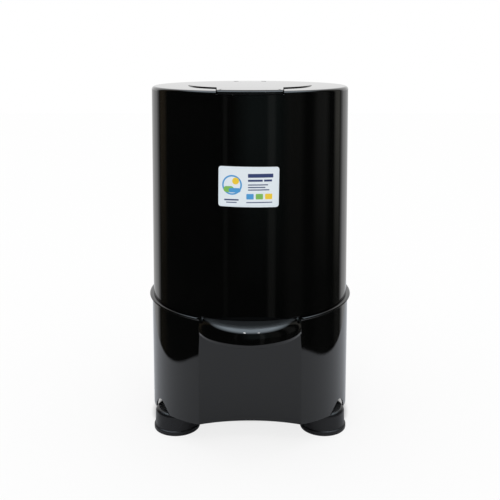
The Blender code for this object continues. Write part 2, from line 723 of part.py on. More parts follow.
def make_hood():
    """The hood over the spout: a shelf level with the seam, and a rounded lip that hangs from it."""
    lip_low = SEAM_HEIGHT - HOOD_LIP
    flat = HOOD_RADIUS - HOOD_FILLET
    fillet_z = SEAM_HEIGHT - HOOD_FILLET
    outside = [(0, SEAM_HEIGHT)] + arc(flat, fillet_z, HOOD_FILLET, 90, 0, FILLET_STEPS)
    inside = arc(flat, fillet_z, HOOD_FILLET - HOOD_WALL, 0, 90, FILLET_STEPS)
    foot = [(HOOD_RADIUS, lip_low), (HOOD_RADIUS - HOOD_WALL, lip_low)]
    profile = outside + foot + inside + [(0, SEAM_HEIGHT - HOOD_WALL)]
    hood = turned("spout_hood", profile, DRUM_STEPS)
    hood.location.y = -HOOD_CENTRE
    hollow = RECESS_RADIUS - GAP
    front = rod("hood_limit", hollow, lip_low - OVERRUN, SEAM_HEIGHT + OVERRUN, WIDE_STEPS * 2)
    front.location.y = -RECESS_CENTRE
    keep_common(hood, front)
    return part(hood, GLOSS_BLACK)


def make_feet():
    """Three suction feet with beaded rims, each on a bolt through the base frame."""
    neck_top = FRAME_HEIGHT - GAP
    shoulder = FOOT_BODY_RADIUS - FOOT_NECK_RADIUS
    dome_low = FOOT_BODY_HEIGHT - shoulder / 2
    bead = FOOT_RIM_HEIGHT / 2
    outer = [(FOOT_NECK_RADIUS, neck_top), (FOOT_NECK_RADIUS, FOOT_BODY_HEIGHT)]
    for degrees in (55, 25, 0):
        angle = math.radians(degrees)
        outer.append((FOOT_NECK_RADIUS + shoulder * math.cos(angle),
                      dome_low + shoulder / 2 * math.sin(angle)))
    outer += [(FOOT_BODY_RADIUS, FOOT_RIM_HEIGHT)]
    outer += arc(FOOT_RIM_RADIUS - bead, bead, bead, 60, -90, FOOT_BEAD_STEPS)
    cup = [(FOOT_CUP_RADIUS, 0), (FOOT_CUP_RADIUS / 2, FOOT_CUP_DEPTH), (0, FOOT_CUP_DEPTH)]
    bore = BOLT_RADIUS + GAP
    profile = [(0, FOOT_BORE_FLOOR), (bore, FOOT_BORE_FLOOR), (bore, neck_top)] + outer + cup
    nut_low = FRAME_TOP + GAP
    nut_top = nut_low + BOLT_NUT_HEIGHT
    end = nut_top + BOLT_END
    bolt_low = FOOT_BORE_FLOOR + GAP
    bolt_profile = [(0, end), (BOLT_RADIUS, end), (BOLT_RADIUS, nut_top), (BOLT_NUT_RADIUS, nut_top),
                    (BOLT_NUT_RADIUS, nut_low), (BOLT_RADIUS, nut_low), (BOLT_RADIUS, bolt_low),
                    (0, bolt_low)]
    for name, azimuth in zip(FOOT_NAMES, FOOT_AZIMUTHS):
        foot = part(turned("foot_" + name, profile, FOOT_STEPS), BLACK_RUBBER)
        bolt = part(turned("foot_bolt_" + name, bolt_profile, SMALL_STEPS), ZINC_STEEL)
        foot.location.x, foot.location.y = polar(FOOT_CIRCLE, azimuth)
        bolt.location.x, bolt.location.y = polar(FOOT_CIRCLE, azimuth)


def make_frame():
    """The steel floor of the base, the rubber mounts on it, and the cradle and posts they carry."""
    inset = BASE_WALL + GAP
    edge = base_outline(base_radius(FRAME_TOP) - inset, inset)
    holes = [circle(FRAME_HOLE, WIDE_STEPS // 2)]
    for azimuth in FOOT_AZIMUTHS:
        x, y = polar(FOOT_CIRCLE, azimuth)
        holes.append(circle(BOLT_RADIUS + GAP, SMALL_STEPS, x, y))
    part(plate("base_frame", [edge] + holes, FRAME_HEIGHT, FRAME_TOP), ZINC_STEEL)
    mount_top = MOUNT_LOW + MOUNT_LENGTH
    waist = MOUNT_RADIUS - MOUNT_WAIST
    mount = [(0, mount_top), (MOUNT_RADIUS, mount_top), (MOUNT_RADIUS, mount_top - MOUNT_LIP),
             (MOUNT_WAIST, mount_top - MOUNT_LIP - waist), (MOUNT_WAIST, MOUNT_LOW + MOUNT_LIP + waist),
             (MOUNT_RADIUS, MOUNT_LOW + MOUNT_LIP), (MOUNT_RADIUS, MOUNT_LOW), (0, MOUNT_LOW)]
    for name, azimuth in zip(FOOT_NAMES, FOOT_AZIMUTHS):
        piece = part(turned("suspension_mount_" + name, mount, SMALL_STEPS), BLACK_RUBBER)
        piece.location.x, piece.location.y = polar(MOUNT_CIRCLE, azimuth)
        post = rod("tub_post_" + name, POST_RADIUS, CRADLE_TOP + GAP, TUB_LOW - GAP, SMALL_STEPS)
        post.location.x, post.location.y = polar(POST_CIRCLE, azimuth)
        part(post, ZINC_STEEL)
    part(ring("motor_cradle", CRADLE_HOLE, CRADLE_RADIUS, CRADLE_LOW, CRADLE_TOP, DRUM_STEPS), ZINC_STEEL)


def winding(name, low):
    """One end of the copper winding, a ring with rounded edges."""
    half = WINDING_HEIGHT / 2
    width = (WINDING_OUTER - WINDING_INNER) / 2
    middle = (WINDING_OUTER + WINDING_INNER) / 2
    section = []
    for angle in range(90, -270, -45):
        turn = math.radians(angle)
        section.append((middle + width * math.cos(turn), low + half + half * math.sin(turn)))
    return part(turned(name, section, MOTOR_STEPS), COPPER_WIRE)


def make_motor():
    """The motor: can, wound core, end bells and bearings."""
    bearing_bore = BEARING_RADIUS + GAP
    lip_top = BELL_FLOOR + BELL_LIP
    flange_top = BELL_LOW + BELL_FLANGE
    lower = [(bearing_bore, flange_top), (BELL_FLANGE_RADIUS, flange_top), (BELL_FLANGE_RADIUS, BELL_LOW),
             (BELL_BODY_RADIUS, BELL_LOW), (BELL_BODY_RADIUS, BELL_FLOOR), (BELL_LIP_BORE, BELL_FLOOR),
             (BELL_LIP_BORE, lip_top), (bearing_bore, lip_top)]
    part(turned("lower_bell", lower, MOTOR_STEPS), CAST_ALUMINIUM)
    low = lip_top + GAP
    bearing = ring("lower_bearing", SHAFT_BORE, BEARING_RADIUS, low, low + BEARING_WIDTH, MOTOR_STEPS)
    part(bearing, STAINLESS)
    part(ring("motor_can", CAN_RADIUS - CAN_WALL, CAN_RADIUS, CAN_LOW, CAN_TOP, MOTOR_STEPS), ZINC_STEEL)
    core_low = MOTOR_MIDDLE - CORE_LENGTH / 2
    core_top = MOTOR_MIDDLE + CORE_LENGTH / 2
    core_outer = CAN_RADIUS - CAN_WALL - GAP
    part(ring("stator_core", CORE_BORE, core_outer, core_low, core_top, MOTOR_STEPS), CORE_STEEL)
    winding("upper_winding", core_top + GAP)
    winding("lower_winding", core_low - GAP - WINDING_HEIGHT)
    cap_low = UPPER_BELL_TOP - BELL_LIP
    upper = [(BELL_LIP_BORE, UPPER_BELL_TOP), (UPPER_BELL_TOP_RADIUS, UPPER_BELL_TOP),
             (CAN_RADIUS, UPPER_BELL_TOP - UPPER_BELL_CHAMFER), (CAN_RADIUS, UPPER_BELL_LOW),
             (bearing_bore, UPPER_BELL_LOW), (bearing_bore, cap_low), (BELL_LIP_BORE, cap_low)]
    part(turned("upper_bell", upper, MOTOR_STEPS), CAST_ALUMINIUM)
    high = cap_low - GAP
    bearing = ring("upper_bearing", SHAFT_BORE, BEARING_RADIUS, high - BEARING_WIDTH, high, MOTOR_STEPS)
    part(bearing, STAINLESS)


def make_rotor():
    """What spins below the drum: shaft, rotor, brake drum and fan."""
    thread_low = CLAMP_TOP
    top = thread_low + THREAD_LENGTH
    shaft = [(0, top), (THREAD_RADIUS, top), (THREAD_RADIUS, thread_low), (SHAFT_RADIUS, thread_low),
             (SHAFT_RADIUS, SHAFT_LOW), (0, SHAFT_LOW)]
    part(turned("drive_shaft", shaft, SMALL_STEPS), STAINLESS)
    rotor_low = MOTOR_MIDDLE - ROTOR_LENGTH / 2
    rotor = ring("rotor_core", SHAFT_BORE, ROTOR_RADIUS, rotor_low, rotor_low + ROTOR_LENGTH, MOTOR_STEPS)
    part(rotor, CORE_STEEL)
    drum = ring("brake_drum", SHAFT_BORE, BRAKE_DRUM_RADIUS, BRAKE_DRUM_LOW, BRAKE_DRUM_TOP, MOTOR_STEPS)
    part(drum, CORE_STEEL)
    outline = []
    pitch = 360 / FAN_BLADES
    for blade in range(FAN_BLADES):
        start = blade * pitch
        end = start + pitch * FAN_BLADE_SHARE
        outline += arc(0, 0, FAN_RADIUS, start, end, 2)
        outline += arc(0, 0, FAN_HUB_RADIUS, end, start + pitch, 2)
    bore = circle(SHAFT_BORE, SMALL_STEPS)
    part(plate("cooling_fan", [outline, bore], SHAFT_LOW, SHAFT_LOW + FAN_WIDTH), GREY_PLASTIC)


def make_tub():
    """The tub that catches the water, its cover, the shaft seal and the drain spout."""
    inner = TUB_RADIUS - TUB_WALL
    profile = [(inner, TUB_TOP), (TUB_RADIUS, TUB_TOP), (TUB_RADIUS, TUB_LOW + TUB_CORNER),
               (TUB_RADIUS - TUB_CORNER, TUB_LOW), (COLLAR_BORE, TUB_LOW), (COLLAR_BORE, COLLAR_TOP),
               (COLLAR_RADIUS, COLLAR_TOP), (COLLAR_RADIUS, TUB_FLOOR), (inner - TUB_CORNER, TUB_FLOOR),
               (inner, TUB_FLOOR + TUB_CORNER)]
    tub = turned("inner_tub", profile, DRUM_STEPS)
    outlet_bore = SPOUT_RADIUS - SPOUT_WALL
    outlet = rod("outlet_cutter", outlet_bore, TUB_LOW - OVERRUN, TUB_FLOOR + OVERRUN, MOTOR_STEPS)
    outlet.location.y = -SPOUT_CIRCLE
    cut(tub, outlet)
    part(tub, GREY_PLASTIC)
    seal = ring("shaft_seal", SHAFT_BORE, COLLAR_BORE - GAP, TUB_LOW, COLLAR_TOP, MOTOR_STEPS)
    part(seal, BLACK_RUBBER)
    lap = TUB_RADIUS + GAP
    cover_low = TUB_TOP + GAP
    cover_top = cover_low + TUB_WALL
    neck_top = LEDGE_LOW - GAP
    neck = COVER_NECK_RADIUS + TUB_WALL
    skirt_low = cover_top - COVER_SKIRT
    cover = [(COVER_NECK_RADIUS, neck_top), (neck, neck_top), (neck, cover_top),
             (lap + TUB_WALL, cover_top), (lap + TUB_WALL, skirt_low), (lap, skirt_low), (lap, cover_low),
             (COVER_NECK_RADIUS, cover_low)]
    part(turned("tub_cover", cover, DRUM_STEPS), GREY_PLASTIC)


def spout_height():
    """The height of the spout's level run."""
    return TUB_LOW - SPOUT_DROP - SPOUT_BEND


def spout_route(extra):
    """The spout's middle line: down from the tub, round a bend, then out to the front."""
    level = spout_height()
    bend_y = -SPOUT_CIRCLE - SPOUT_BEND
    bend_z = level + SPOUT_BEND
    route = [(0, -SPOUT_CIRCLE, TUB_LOW - GAP + extra)]
    for y, z in arc(bend_y, bend_z, SPOUT_BEND, 0, -90, SPOUT_BEND_STEPS):
        route.append((0, y, z))
    route.append((0, -SPOUT_REACH - extra, level))
    return route


def make_spout():
    """The drain spout, a bent tube that hangs from the tub and looks out below the hood."""
    spout = hose("drain_spout", spout_route(0), SPOUT_RADIUS, HOSE_SIDES)
    top = TUB_LOW - GAP
    flange = rod("spout_flange", SPOUT_FLANGE_RADIUS, top - SPOUT_FLANGE, top, MOTOR_STEPS)
    flange.location.y = -SPOUT_CIRCLE
    join(spout, flange)
    cut(spout, hose("spout_bore", spout_route(OVERRUN), SPOUT_RADIUS - SPOUT_WALL, HOSE_SIDES))
    part(spout, GREY_PLASTIC)


def drum_holes():
    """The cutters for the drum's holes: rows of short bars that point outwards."""
    bm = bmesh.new()
    depth = DRUM_WALL + 2 * OVERRUN
    band = DRUM_HEIGHT * HOLE_BAND_SHARE
    row_pitch = band / (DRUM_HOLE_ROWS - 1)
    first = DRUM_LOW + (DRUM_HEIGHT - band) / 2
    level = Matrix.Rotation(math.radians(90), 4, "X")
    for row in range(DRUM_HOLE_ROWS):
        for hole in range(DRUM_HOLES_ROUND):
            azimuth = (hole + row % 2 / 2) * 360 / DRUM_HOLES_ROUND
            x, y = polar(DRUM_RADIUS - DRUM_WALL / 2, azimuth)
            place = Matrix.Translation((x, y, first + row * row_pitch))
            facing = Matrix.Rotation(math.radians(azimuth), 4, "Z") @ level
            bmesh.ops.create_cone(bm, cap_ends=True, segments=DRUM_HOLE_SIDES, radius1=DRUM_HOLE_RADIUS,
                                  radius2=DRUM_HOLE_RADIUS, depth=depth, matrix=place @ facing)
    mesh = bpy.data.meshes.new("hole_cutters")
    bm.to_mesh(mesh)
    bm.free()
    return bpy.data.objects.new("hole_cutters", mesh)


def make_drum():
    """The perforated drum, and the hub, clamp plate, cap nut and balance ring fixed to it."""
    wall = DRUM_WALL
    corner = DRUM_CORNER
    inner = DRUM_RADIUS - wall
    profile = [(DRUM_MOUTH_RADIUS, DRUM_TOP), (DRUM_RADIUS - corner, DRUM_TOP),
               (DRUM_RADIUS, DRUM_TOP - corner), (DRUM_RADIUS, DRUM_LOW + corner),
               (DRUM_RADIUS - corner, DRUM_LOW), (SHAFT_BORE, DRUM_LOW),
               (SHAFT_BORE, DRUM_LOW + wall), (inner - corner, DRUM_LOW + wall),
               (inner, DRUM_LOW + wall + corner), (inner, DRUM_TOP - wall - corner),
               (inner - corner, DRUM_TOP - wall), (DRUM_MOUTH_RADIUS, DRUM_TOP - wall)]
    drum = turned("spin_drum", profile, DRUM_STEPS)
    cut(drum, drum_holes())
    part(drum, STAINLESS)
    hub_top = DRUM_LOW - GAP
    hub_low = hub_top - HUB_THICK
    hub = [(SHAFT_BORE, hub_top), (HUB_RADIUS, hub_top), (HUB_RADIUS, (hub_top + hub_low) / 2),
           (HUB_NECK_RADIUS, hub_low), (SHAFT_BORE, hub_low)]
    part(turned("drum_hub", hub, MOTOR_STEPS), CAST_ALUMINIUM)
    clamp = [(SHAFT_BORE, CLAMP_TOP), (HUB_NECK_RADIUS, CLAMP_TOP),
             (HUB_RADIUS, (CLAMP_LOW + CLAMP_TOP) / 2), (HUB_RADIUS, CLAMP_LOW), (SHAFT_BORE, CLAMP_LOW)]
    part(turned("clamp_plate", clamp, MOTOR_STEPS), CAST_ALUMINIUM)
    nut_low = CLAMP_TOP + GAP
    nut_top = nut_low + NUT_HEIGHT
    nut_bore = THREAD_RADIUS + GAP
    bore_top = CLAMP_TOP + THREAD_LENGTH + GAP
    nut = [(0, nut_top), (NUT_RADIUS / 2, nut_top), (NUT_RADIUS, bore_top), (NUT_RADIUS, nut_low),
           (nut_bore, nut_low), (nut_bore, bore_top), (0, bore_top)]
    part(turned("hub_nut", nut, SMALL_STEPS), STAINLESS)
    outer = inner - corner - GAP
    ring_top = DRUM_TOP - wall - GAP
    ring_low = ring_top - BALANCE_HEIGHT
    balance = ring("balance_ring", outer - BALANCE_WIDTH, outer, ring_low, ring_top, DRUM_STEPS)
    part(balance, GREY_PLASTIC)


def make_lid():
    """The lid: a thin shell with a rim and a tab, whose shoulder goes on the casing's own."""
    reach = CASING_SEAM_RADIUS + OVERRUN
    skin = plate("lid_panel", [lid_outline(0, reach)], LID_RIM_LOW, OVERALL_HEIGHT)
    tongue_high = (TONGUE_HALF_WIDTH, HINGE_Y, OVERALL_HEIGHT)
    join(skin, block("lid_tongue", (-TONGUE_HALF_WIDTH, 0, LID_SKIN_LOW), tongue_high))
    barrel = rod("lid_barrel", BARREL_RADIUS, -TONGUE_HALF_WIDTH, TONGUE_HALF_WIDTH, SMALL_STEPS)
    barrel.rotation_euler.y = math.radians(90)
    barrel.location = (0, HINGE_Y, HINGE_Z)
    join(skin, barrel)
    envelope_low = LID_RIM_LOW - OVERRUN
    envelope_high = OVERALL_HEIGHT + OVERRUN
    shoulder = casing_shoulder(0)
    envelope = [(0, envelope_high), (shoulder[0][0], envelope_high)] + shoulder
    envelope += [(casing_radius(envelope_low), envelope_low), (0, envelope_low)]
    keep_common(skin, turned("lid_envelope", envelope, WIDE_STEPS))
    room = lid_outline(-LID_WALL, casing_radius(OVERALL_HEIGHT) - LID_WALL)
    cut(skin, plate("lid_room", [room], envelope_low, LID_SKIN_LOW))
    bore_reach = TONGUE_HALF_WIDTH + OVERRUN
    bore = rod("pin_bore", HINGE_PIN_RADIUS + GAP, -bore_reach, bore_reach, SMALL_STEPS)
    bore.rotation_euler.y = math.radians(90)
    bore.location = (0, HINGE_Y, HINGE_Z)
    cut(skin, bore)
    part(skin, GLOSS_BLACK, LID_AXIS)
    liner_top = LID_SKIN_LOW - GAP
    liner_low = liner_top - LINER_DEPTH
    inner = LINER_RADIUS - LINER_WALL
    liner = [(0, liner_low + LINER_WALL), (inner, liner_low + LINER_WALL), (inner, liner_top),
             (LINER_RADIUS, liner_top), (LINER_RADIUS, liner_low), (0, liner_low)]
    part(turned("lid_liner", liner, DRUM_STEPS), GREY_PLASTIC, LID_AXIS)
    gasket_top = LID_RIM_LOW - GAP
    gasket_outer = LID_RADIUS - GAP
    gasket_inner = gasket_outer - GASKET_WIDTH
    gasket = ring("lid_gasket", gasket_inner, gasket_outer, LEDGE_TOP + GAP, gasket_top, DRUM_STEPS)
    part(gasket, BLACK_RUBBER, LID_AXIS)


def make_hinge():
    """The hinge block under the deck, with two ears, and the pin through them."""
    inner = TONGUE_HALF_WIDTH + LID_SEAM
    outer = inner + EAR_WIDTH
    foot = outer + HINGE_FOOT_WIDTH
    front = NECK_RADIUS + CASING_WALL + 2 * GAP
    rear = HINGE_Y + EAR_REACH
    under_deck = DECK_UNDERSIDE - GAP
    low = under_deck - HINGE_FOOT_DEPTH
    body = block("hinge_block", (-foot, front, low), (foot, rear + HINGE_FOOT_WIDTH, under_deck))
    join(body, block("hinge_ears", (-outer, front, low), (outer, rear, OVERALL_HEIGHT - GAP)))
    slot_low = HINGE_Z - BARREL_RADIUS - LID_SEAM
    cut(body, block("hinge_slot", (-inner, 0, slot_low), (inner, rear + GAP, OVERALL_HEIGHT + OVERRUN)))
    bore = rod("ear_bore", HINGE_PIN_RADIUS + GAP, -outer - OVERRUN, outer + OVERRUN, SMALL_STEPS)
    bore.rotation_euler.y = math.radians(90)
    bore.location = (0, HINGE_Y, HINGE_Z)
    cut(body, bore)
    part(body, GREY_PLASTIC)
    pin = rod("hinge_pin", HINGE_PIN_RADIUS, -outer, outer, SMALL_STEPS)
    pin.rotation_euler.y = math.radians(90)
    pin.location = (0, HINGE_Y, HINGE_Z)
    part(pin, STAINLESS)


def make_latch():
    """The tray under the tab, and the hook, lid lock and lid switch that work through it."""
    half = TRAY_HALF_WIDTH
    flange = half + TRAY_FLANGE
    inner = half - TRAY_WALL
    top = DECK_UNDERSIDE - GAP
    flange_low = top - TRAY_WALL
    section = [(-flange, top), (-inner, top), (-inner, TRAY_FLOOR), (inner, TRAY_FLOOR), (inner, top),
               (flange, top), (flange, flange_low), (half, flange_low), (half, TRAY_LOW),
               (-half, TRAY_LOW), (-half, flange_low), (-flange, flange_low)]
    tray = turn_outwards(plate("latch_tray", [section], LID_RADIUS / 2, CASING_TOP_RADIUS), 0, 0)
    wall = casing_radius(TRAY_LOW) - CASING_WALL - SHOULDER_RADIUS / 2
    neck = NECK_RADIUS + CASING_WALL + GAP
    keep_common(tray, ring("tray_limit", neck, wall, TRAY_LOW - OVERRUN, top + OVERRUN, WIDE_STEPS))
    slot_x = HOOK_THICK / 2 + HOOK_ROOM / 2
    slot_low = (-slot_x, -HOOK_Y - HOOK_WIDTH / 2 - HOOK_ROOM, TRAY_LOW - OVERRUN)
    slot_high = (slot_x, -HOOK_Y + HOOK_WIDTH / 2 + HOOK_ROOM, TRAY_FLOOR + TRAY_WALL)
    cut(tray, block("hook_slot", slot_low, slot_high))
    peep_radius = PLUNGER_RADIUS + 2 * GAP
    peep = rod("plunger_hole", peep_radius, TRAY_LOW - OVERRUN, TRAY_FLOOR + TRAY_WALL, SMALL_STEPS)
    peep.location = (-SWITCH_X, -HOOK_Y, 0)
    cut(tray, peep)
    part(tray, GREY_PLASTIC)

    foot_top = LID_SKIN_LOW - GAP
    foot_low = foot_top - HOOK_FOOT_THICK
    half_width = HOOK_WIDTH / 2
    half_thick = HOOK_THICK / 2
    hook = block("lid_hook", (-half_thick, -HOOK_Y - half_width, HOOK_LOW),
                 (half_thick, -HOOK_Y + half_width, foot_top))
    join(hook, block("hook_foot", (-HOOK_FOOT_HALF_WIDTH, -HOOK_Y - half_width, foot_low),
                     (HOOK_FOOT_HALF_WIDTH, -HOOK_Y + half_width, foot_top)))
    window = HOOK_WINDOW / 2
    cut(hook, block("hook_window", (-OVERRUN, -HOOK_Y - window, LOCK_BOLT_Z - window),
                    (OVERRUN, -HOOK_Y + window, LOCK_BOLT_Z + window)))
    part(hook, ZINC_STEEL, LID_AXIS)

    case_top = TRAY_LOW - GAP
    case_x = ACTUATOR_SETBACK
    case = block("lock_actuator", (case_x, -HOOK_Y - ACTUATOR_WIDTH / 2, case_top - ACTUATOR_HEIGHT),
                 (case_x + ACTUATOR_LENGTH, -HOOK_Y + ACTUATOR_WIDTH / 2, case_top))
    bolt_reach = LOCK_BOLT_SETBACK + LOCK_BOLT_LENGTH + GAP
    bolt_bore = rod("bolt_bore", LOCK_BOLT_RADIUS + GAP, 0, bolt_reach, SMALL_STEPS)
    bolt_bore.rotation_euler.y = math.radians(90)
    bolt_bore.location = (0, -HOOK_Y, LOCK_BOLT_Z)
    cut(case, bolt_bore)
    part(case, WHITE_PLASTIC)
    bolt = rod("lock_bolt", LOCK_BOLT_RADIUS, 0, LOCK_BOLT_LENGTH, SMALL_STEPS)
    bolt.rotation_euler.y = math.radians(90)
    bolt.location = (LOCK_BOLT_SETBACK, -HOOK_Y, LOCK_BOLT_Z)
    part(bolt, STAINLESS)

    long_half = SWITCH_LENGTH / 2
    short_half = SWITCH_WIDTH / 2
    switch_low = (-SWITCH_X - long_half, -HOOK_Y - short_half, case_top - SWITCH_HEIGHT)
    switch = block("switch_body", switch_low, (-SWITCH_X + long_half, -HOOK_Y + short_half, case_top))
    plunger_low = foot_top - PLUNGER_LENGTH
    well_low = plunger_low - PLUNGER_STROKE - GAP
    well = rod("plunger_well", PLUNGER_RADIUS + GAP, well_low, foot_top, SMALL_STEPS)
    well.location = (-SWITCH_X, -HOOK_Y, 0)
    cut(switch, well)
    part(switch, GREY_PLASTIC)
    plunger = rod("switch_plunger", PLUNGER_RADIUS, plunger_low, foot_top, SMALL_STEPS)
    plunger.location = (-SWITCH_X, -HOOK_Y, 0)
    part(plunger, WHITE_PLASTIC)


def smooth_route(points, per_stretch):
    """A smooth curve through the points, as many short steps."""
    ends = [2 * points[0] - points[1]] + points + [2 * points[-1] - points[-2]]
    route = []
    for index in range(1, len(points)):
        before, start, end, after = ends[index - 1:index + 3]
        for step in range(per_stretch):
            t = step / per_stretch
            bend = 2 * before - 5 * start + 4 * end - after
            twist = 3 * start - before - 3 * end + after
            route.append((2 * start + (end - before) * t + bend * t ** 2 + twist * t ** 3) / 2)
    return route + [points[-1]]


def make_brake():
    """The lever that brings a pad to the brake drum, its post, and the cable from the lid."""
    low = BRAKE_MIDDLE - LEVER_THICK / 2
    high = BRAKE_MIDDLE + LEVER_THICK / 2
    half = LEVER_WIDTH / 2
    pivot = (LEVER_PIVOT_X, LEVER_PIVOT_Y)
    arm = [(pivot[0] - LEVER_PAD_REACH, pivot[1] - half), (pivot[0] + LEVER_CABLE_REACH, pivot[1] - half),
           (pivot[0] + LEVER_CABLE_REACH, pivot[1] + half), (pivot[0] - LEVER_PAD_REACH, pivot[1] + half)]
    lever = plate("brake_lever", [arm], low, high)
    join(lever, plate("lever_eye", [circle(LEVER_EYE_RADIUS, SMALL_STEPS, *pivot)], low, high))
    bore = circle(POST_SHANK_RADIUS + GAP, SMALL_STEPS, *pivot)
    cut(lever, plate("lever_bore", [bore], low - OVERRUN, high + OVERRUN))
    part(lever, ZINC_STEEL, BRAKE_AXIS)
    pad_half = PAD_LENGTH / 2
    face = BRAKE_DRUM_RADIUS + PAD_CLEARANCE
    back = pivot[1] - half - GAP
    corner_angle = math.degrees(math.asin(pad_half / face))
    outline = arc(0, 0, face, 90 - corner_angle, 90 + corner_angle, FILLET_STEPS)
    outline += [(-pad_half, back), (pad_half, back)]
    part(plate("brake_pad", [outline], low, high), PAD_BROWN, BRAKE_AXIS)
    post_top = CRADLE_LOW - GAP
    head_low = post_top - POST_HEAD
    foot_top = low - GAP
    profile = [(0, post_top), (POST_HEAD_RADIUS, post_top), (POST_HEAD_RADIUS, head_low),
               (POST_SHANK_RADIUS, head_low), (POST_SHANK_RADIUS, foot_top), (POST_HEAD_RADIUS, foot_top),
               (POST_HEAD_RADIUS, foot_top - POST_HEAD), (0, foot_top - POST_HEAD)]
    post = turned("brake_post", profile, SMALL_STEPS)
    post.location = (*pivot, 0)
    part(post, ZINC_STEEL)


def make_cable():
    """The brake cable, which runs up the back between the tub and the casing."""
    end_x = LEVER_PIVOT_X + LEVER_CABLE_REACH - CABLE_RADIUS
    start_y = LEVER_PIVOT_Y + LEVER_WIDTH / 2 + CABLE_RADIUS + CABLE_STANDOFF
    run_x, run_y = polar(CABLE_RUN_RADIUS, CABLE_AZIMUTH)
    turn_low = CRADLE_TOP + SPOUT_BEND
    hinge_rear = HINGE_Y + EAR_REACH + HINGE_FOOT_WIDTH + GAP + CABLE_RADIUS
    hinge_middle = DECK_UNDERSIDE - GAP - HINGE_FOOT_DEPTH / 2
    hinge_side = TONGUE_HALF_WIDTH + LID_SEAM + EAR_WIDTH + HINGE_FOOT_WIDTH + CABLE_RADIUS
    points = [Vector((end_x, start_y, BRAKE_MIDDLE)),
              Vector((end_x, (start_y + run_y) / 2, BRAKE_MIDDLE)),
              Vector((run_x, run_y, turn_low)),
              Vector((run_x, run_y, SEAM_HEIGHT)),
              Vector((run_x, run_y, (SEAM_HEIGHT + TUB_TOP) / 2)),
              Vector((run_x, run_y, TUB_TOP - COVER_SKIRT)),
              Vector((hinge_side + CABLE_END_RUN, hinge_rear, hinge_middle - CABLE_END_RUN)),
              Vector((hinge_side, hinge_rear, hinge_middle)),
              Vector((TONGUE_HALF_WIDTH, hinge_rear, hinge_middle))]
    part(hose("brake_cable", smooth_route(points, 4), CABLE_RADIUS, CABLE_SIDES), BLACK_RUBBER)


def make_electrics():
    """The motor's capacitor in its cup, and the gland where a cord would come in."""
    x, y = polar(CAPACITOR_CIRCLE, CAPACITOR_AZIMUTH)
    floor = FRAME_TOP + GAP
    low = floor + CUP_WALL + GAP
    can = rod("capacitor", CAPACITOR_RADIUS, low, low + CAPACITOR_LENGTH, MOTOR_STEPS)
    can.location = (x, y, 0)
    part(can, WHITE_PLASTIC)
    bore = CAPACITOR_RADIUS + GAP
    outer = bore + CUP_WALL
    rim = floor + CUP_HEIGHT
    profile = [(0, floor + CUP_WALL), (bore, floor + CUP_WALL), (bore, rim), (outer, rim), (outer, floor),
               (0, floor)]
    cup = turned("capacitor_cup", profile, MOTOR_STEPS)
    cup.location = (x, y, 0)
    part(cup, GREY_PLASTIC)
    wall = base_radius(GLAND_HEIGHT)
    seat = wall + GAP
    head = seat + GLAND_HEAD
    nose = head + GLAND_NOSE
    tail = wall - GLAND_TAIL
    gland_profile = [(GLAND_BORE, nose), (GLAND_RADIUS, nose), (GLAND_HEAD_RADIUS, head),
                     (GLAND_HEAD_RADIUS, seat), (GLAND_RADIUS, seat), (GLAND_RADIUS, tail),
                     (GLAND_BORE, tail)]
    gland = turned("cord_gland", gland_profile, SMALL_STEPS)
    part(turn_outwards(gland, GLAND_AZIMUTH, GLAND_HEIGHT), BLACK_RUBBER)


def make_label():
    """The label plate, a thin sheet that follows the casing's front."""
    bm = bmesh.new()
    rows = []
    for height in (LABEL_MIDDLE - LABEL_HEIGHT / 2, LABEL_MIDDLE + LABEL_HEIGHT / 2):
        radius = casing_radius(height) + GAP
        row = []
        for step in range(LABEL_STEPS + 1):
            x = LABEL_SHIFT + LABEL_WIDTH * (step / LABEL_STEPS - 0.5)
            angle = x / radius
            row.append(bm.verts.new((radius * math.sin(angle), -radius * math.cos(angle), height)))
        rows.append(row)
    for step in range(LABEL_STEPS):
        bm.faces.new((rows[0][step], rows[0][step + 1], rows[1][step + 1], rows[1][step]))
    mesh = bpy.data.meshes.new("label_plate")
    bm.to_mesh(mesh)
    bm.free()
    sheet = bpy.data.objects.new("label_plate", mesh)
    wall = sheet.modifiers.new("sheet", "SOLIDIFY")
    wall.thickness = LABEL_THICK
    wall.offset = 1
    part(sheet, LABEL_WHITE)


make_casing()
make_base()
make_hood()
make_feet()
make_frame()
make_motor()
make_rotor()
make_tub()
make_spout()
make_drum()
make_lid()
make_hinge()
make_latch()
make_brake()
make_cable()
make_electrics()
make_label()
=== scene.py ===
# %% [markdown]
# # A spin dryer in gloss black plastic
#
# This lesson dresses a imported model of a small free-standing spin dryer. The model already has
# the right sizes, joints and solids. Here its big mouldings are drawn again as fine surfaces, and
# every piece, outside and inside, gets a finish made of nodes.
#
# Each surface is a function of two parameters, worked out as one numpy array. Sizes are in
# millimetres, measured from the axis that the drum spins on, with the front facing -Y.

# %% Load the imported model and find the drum's axis
import json
import math

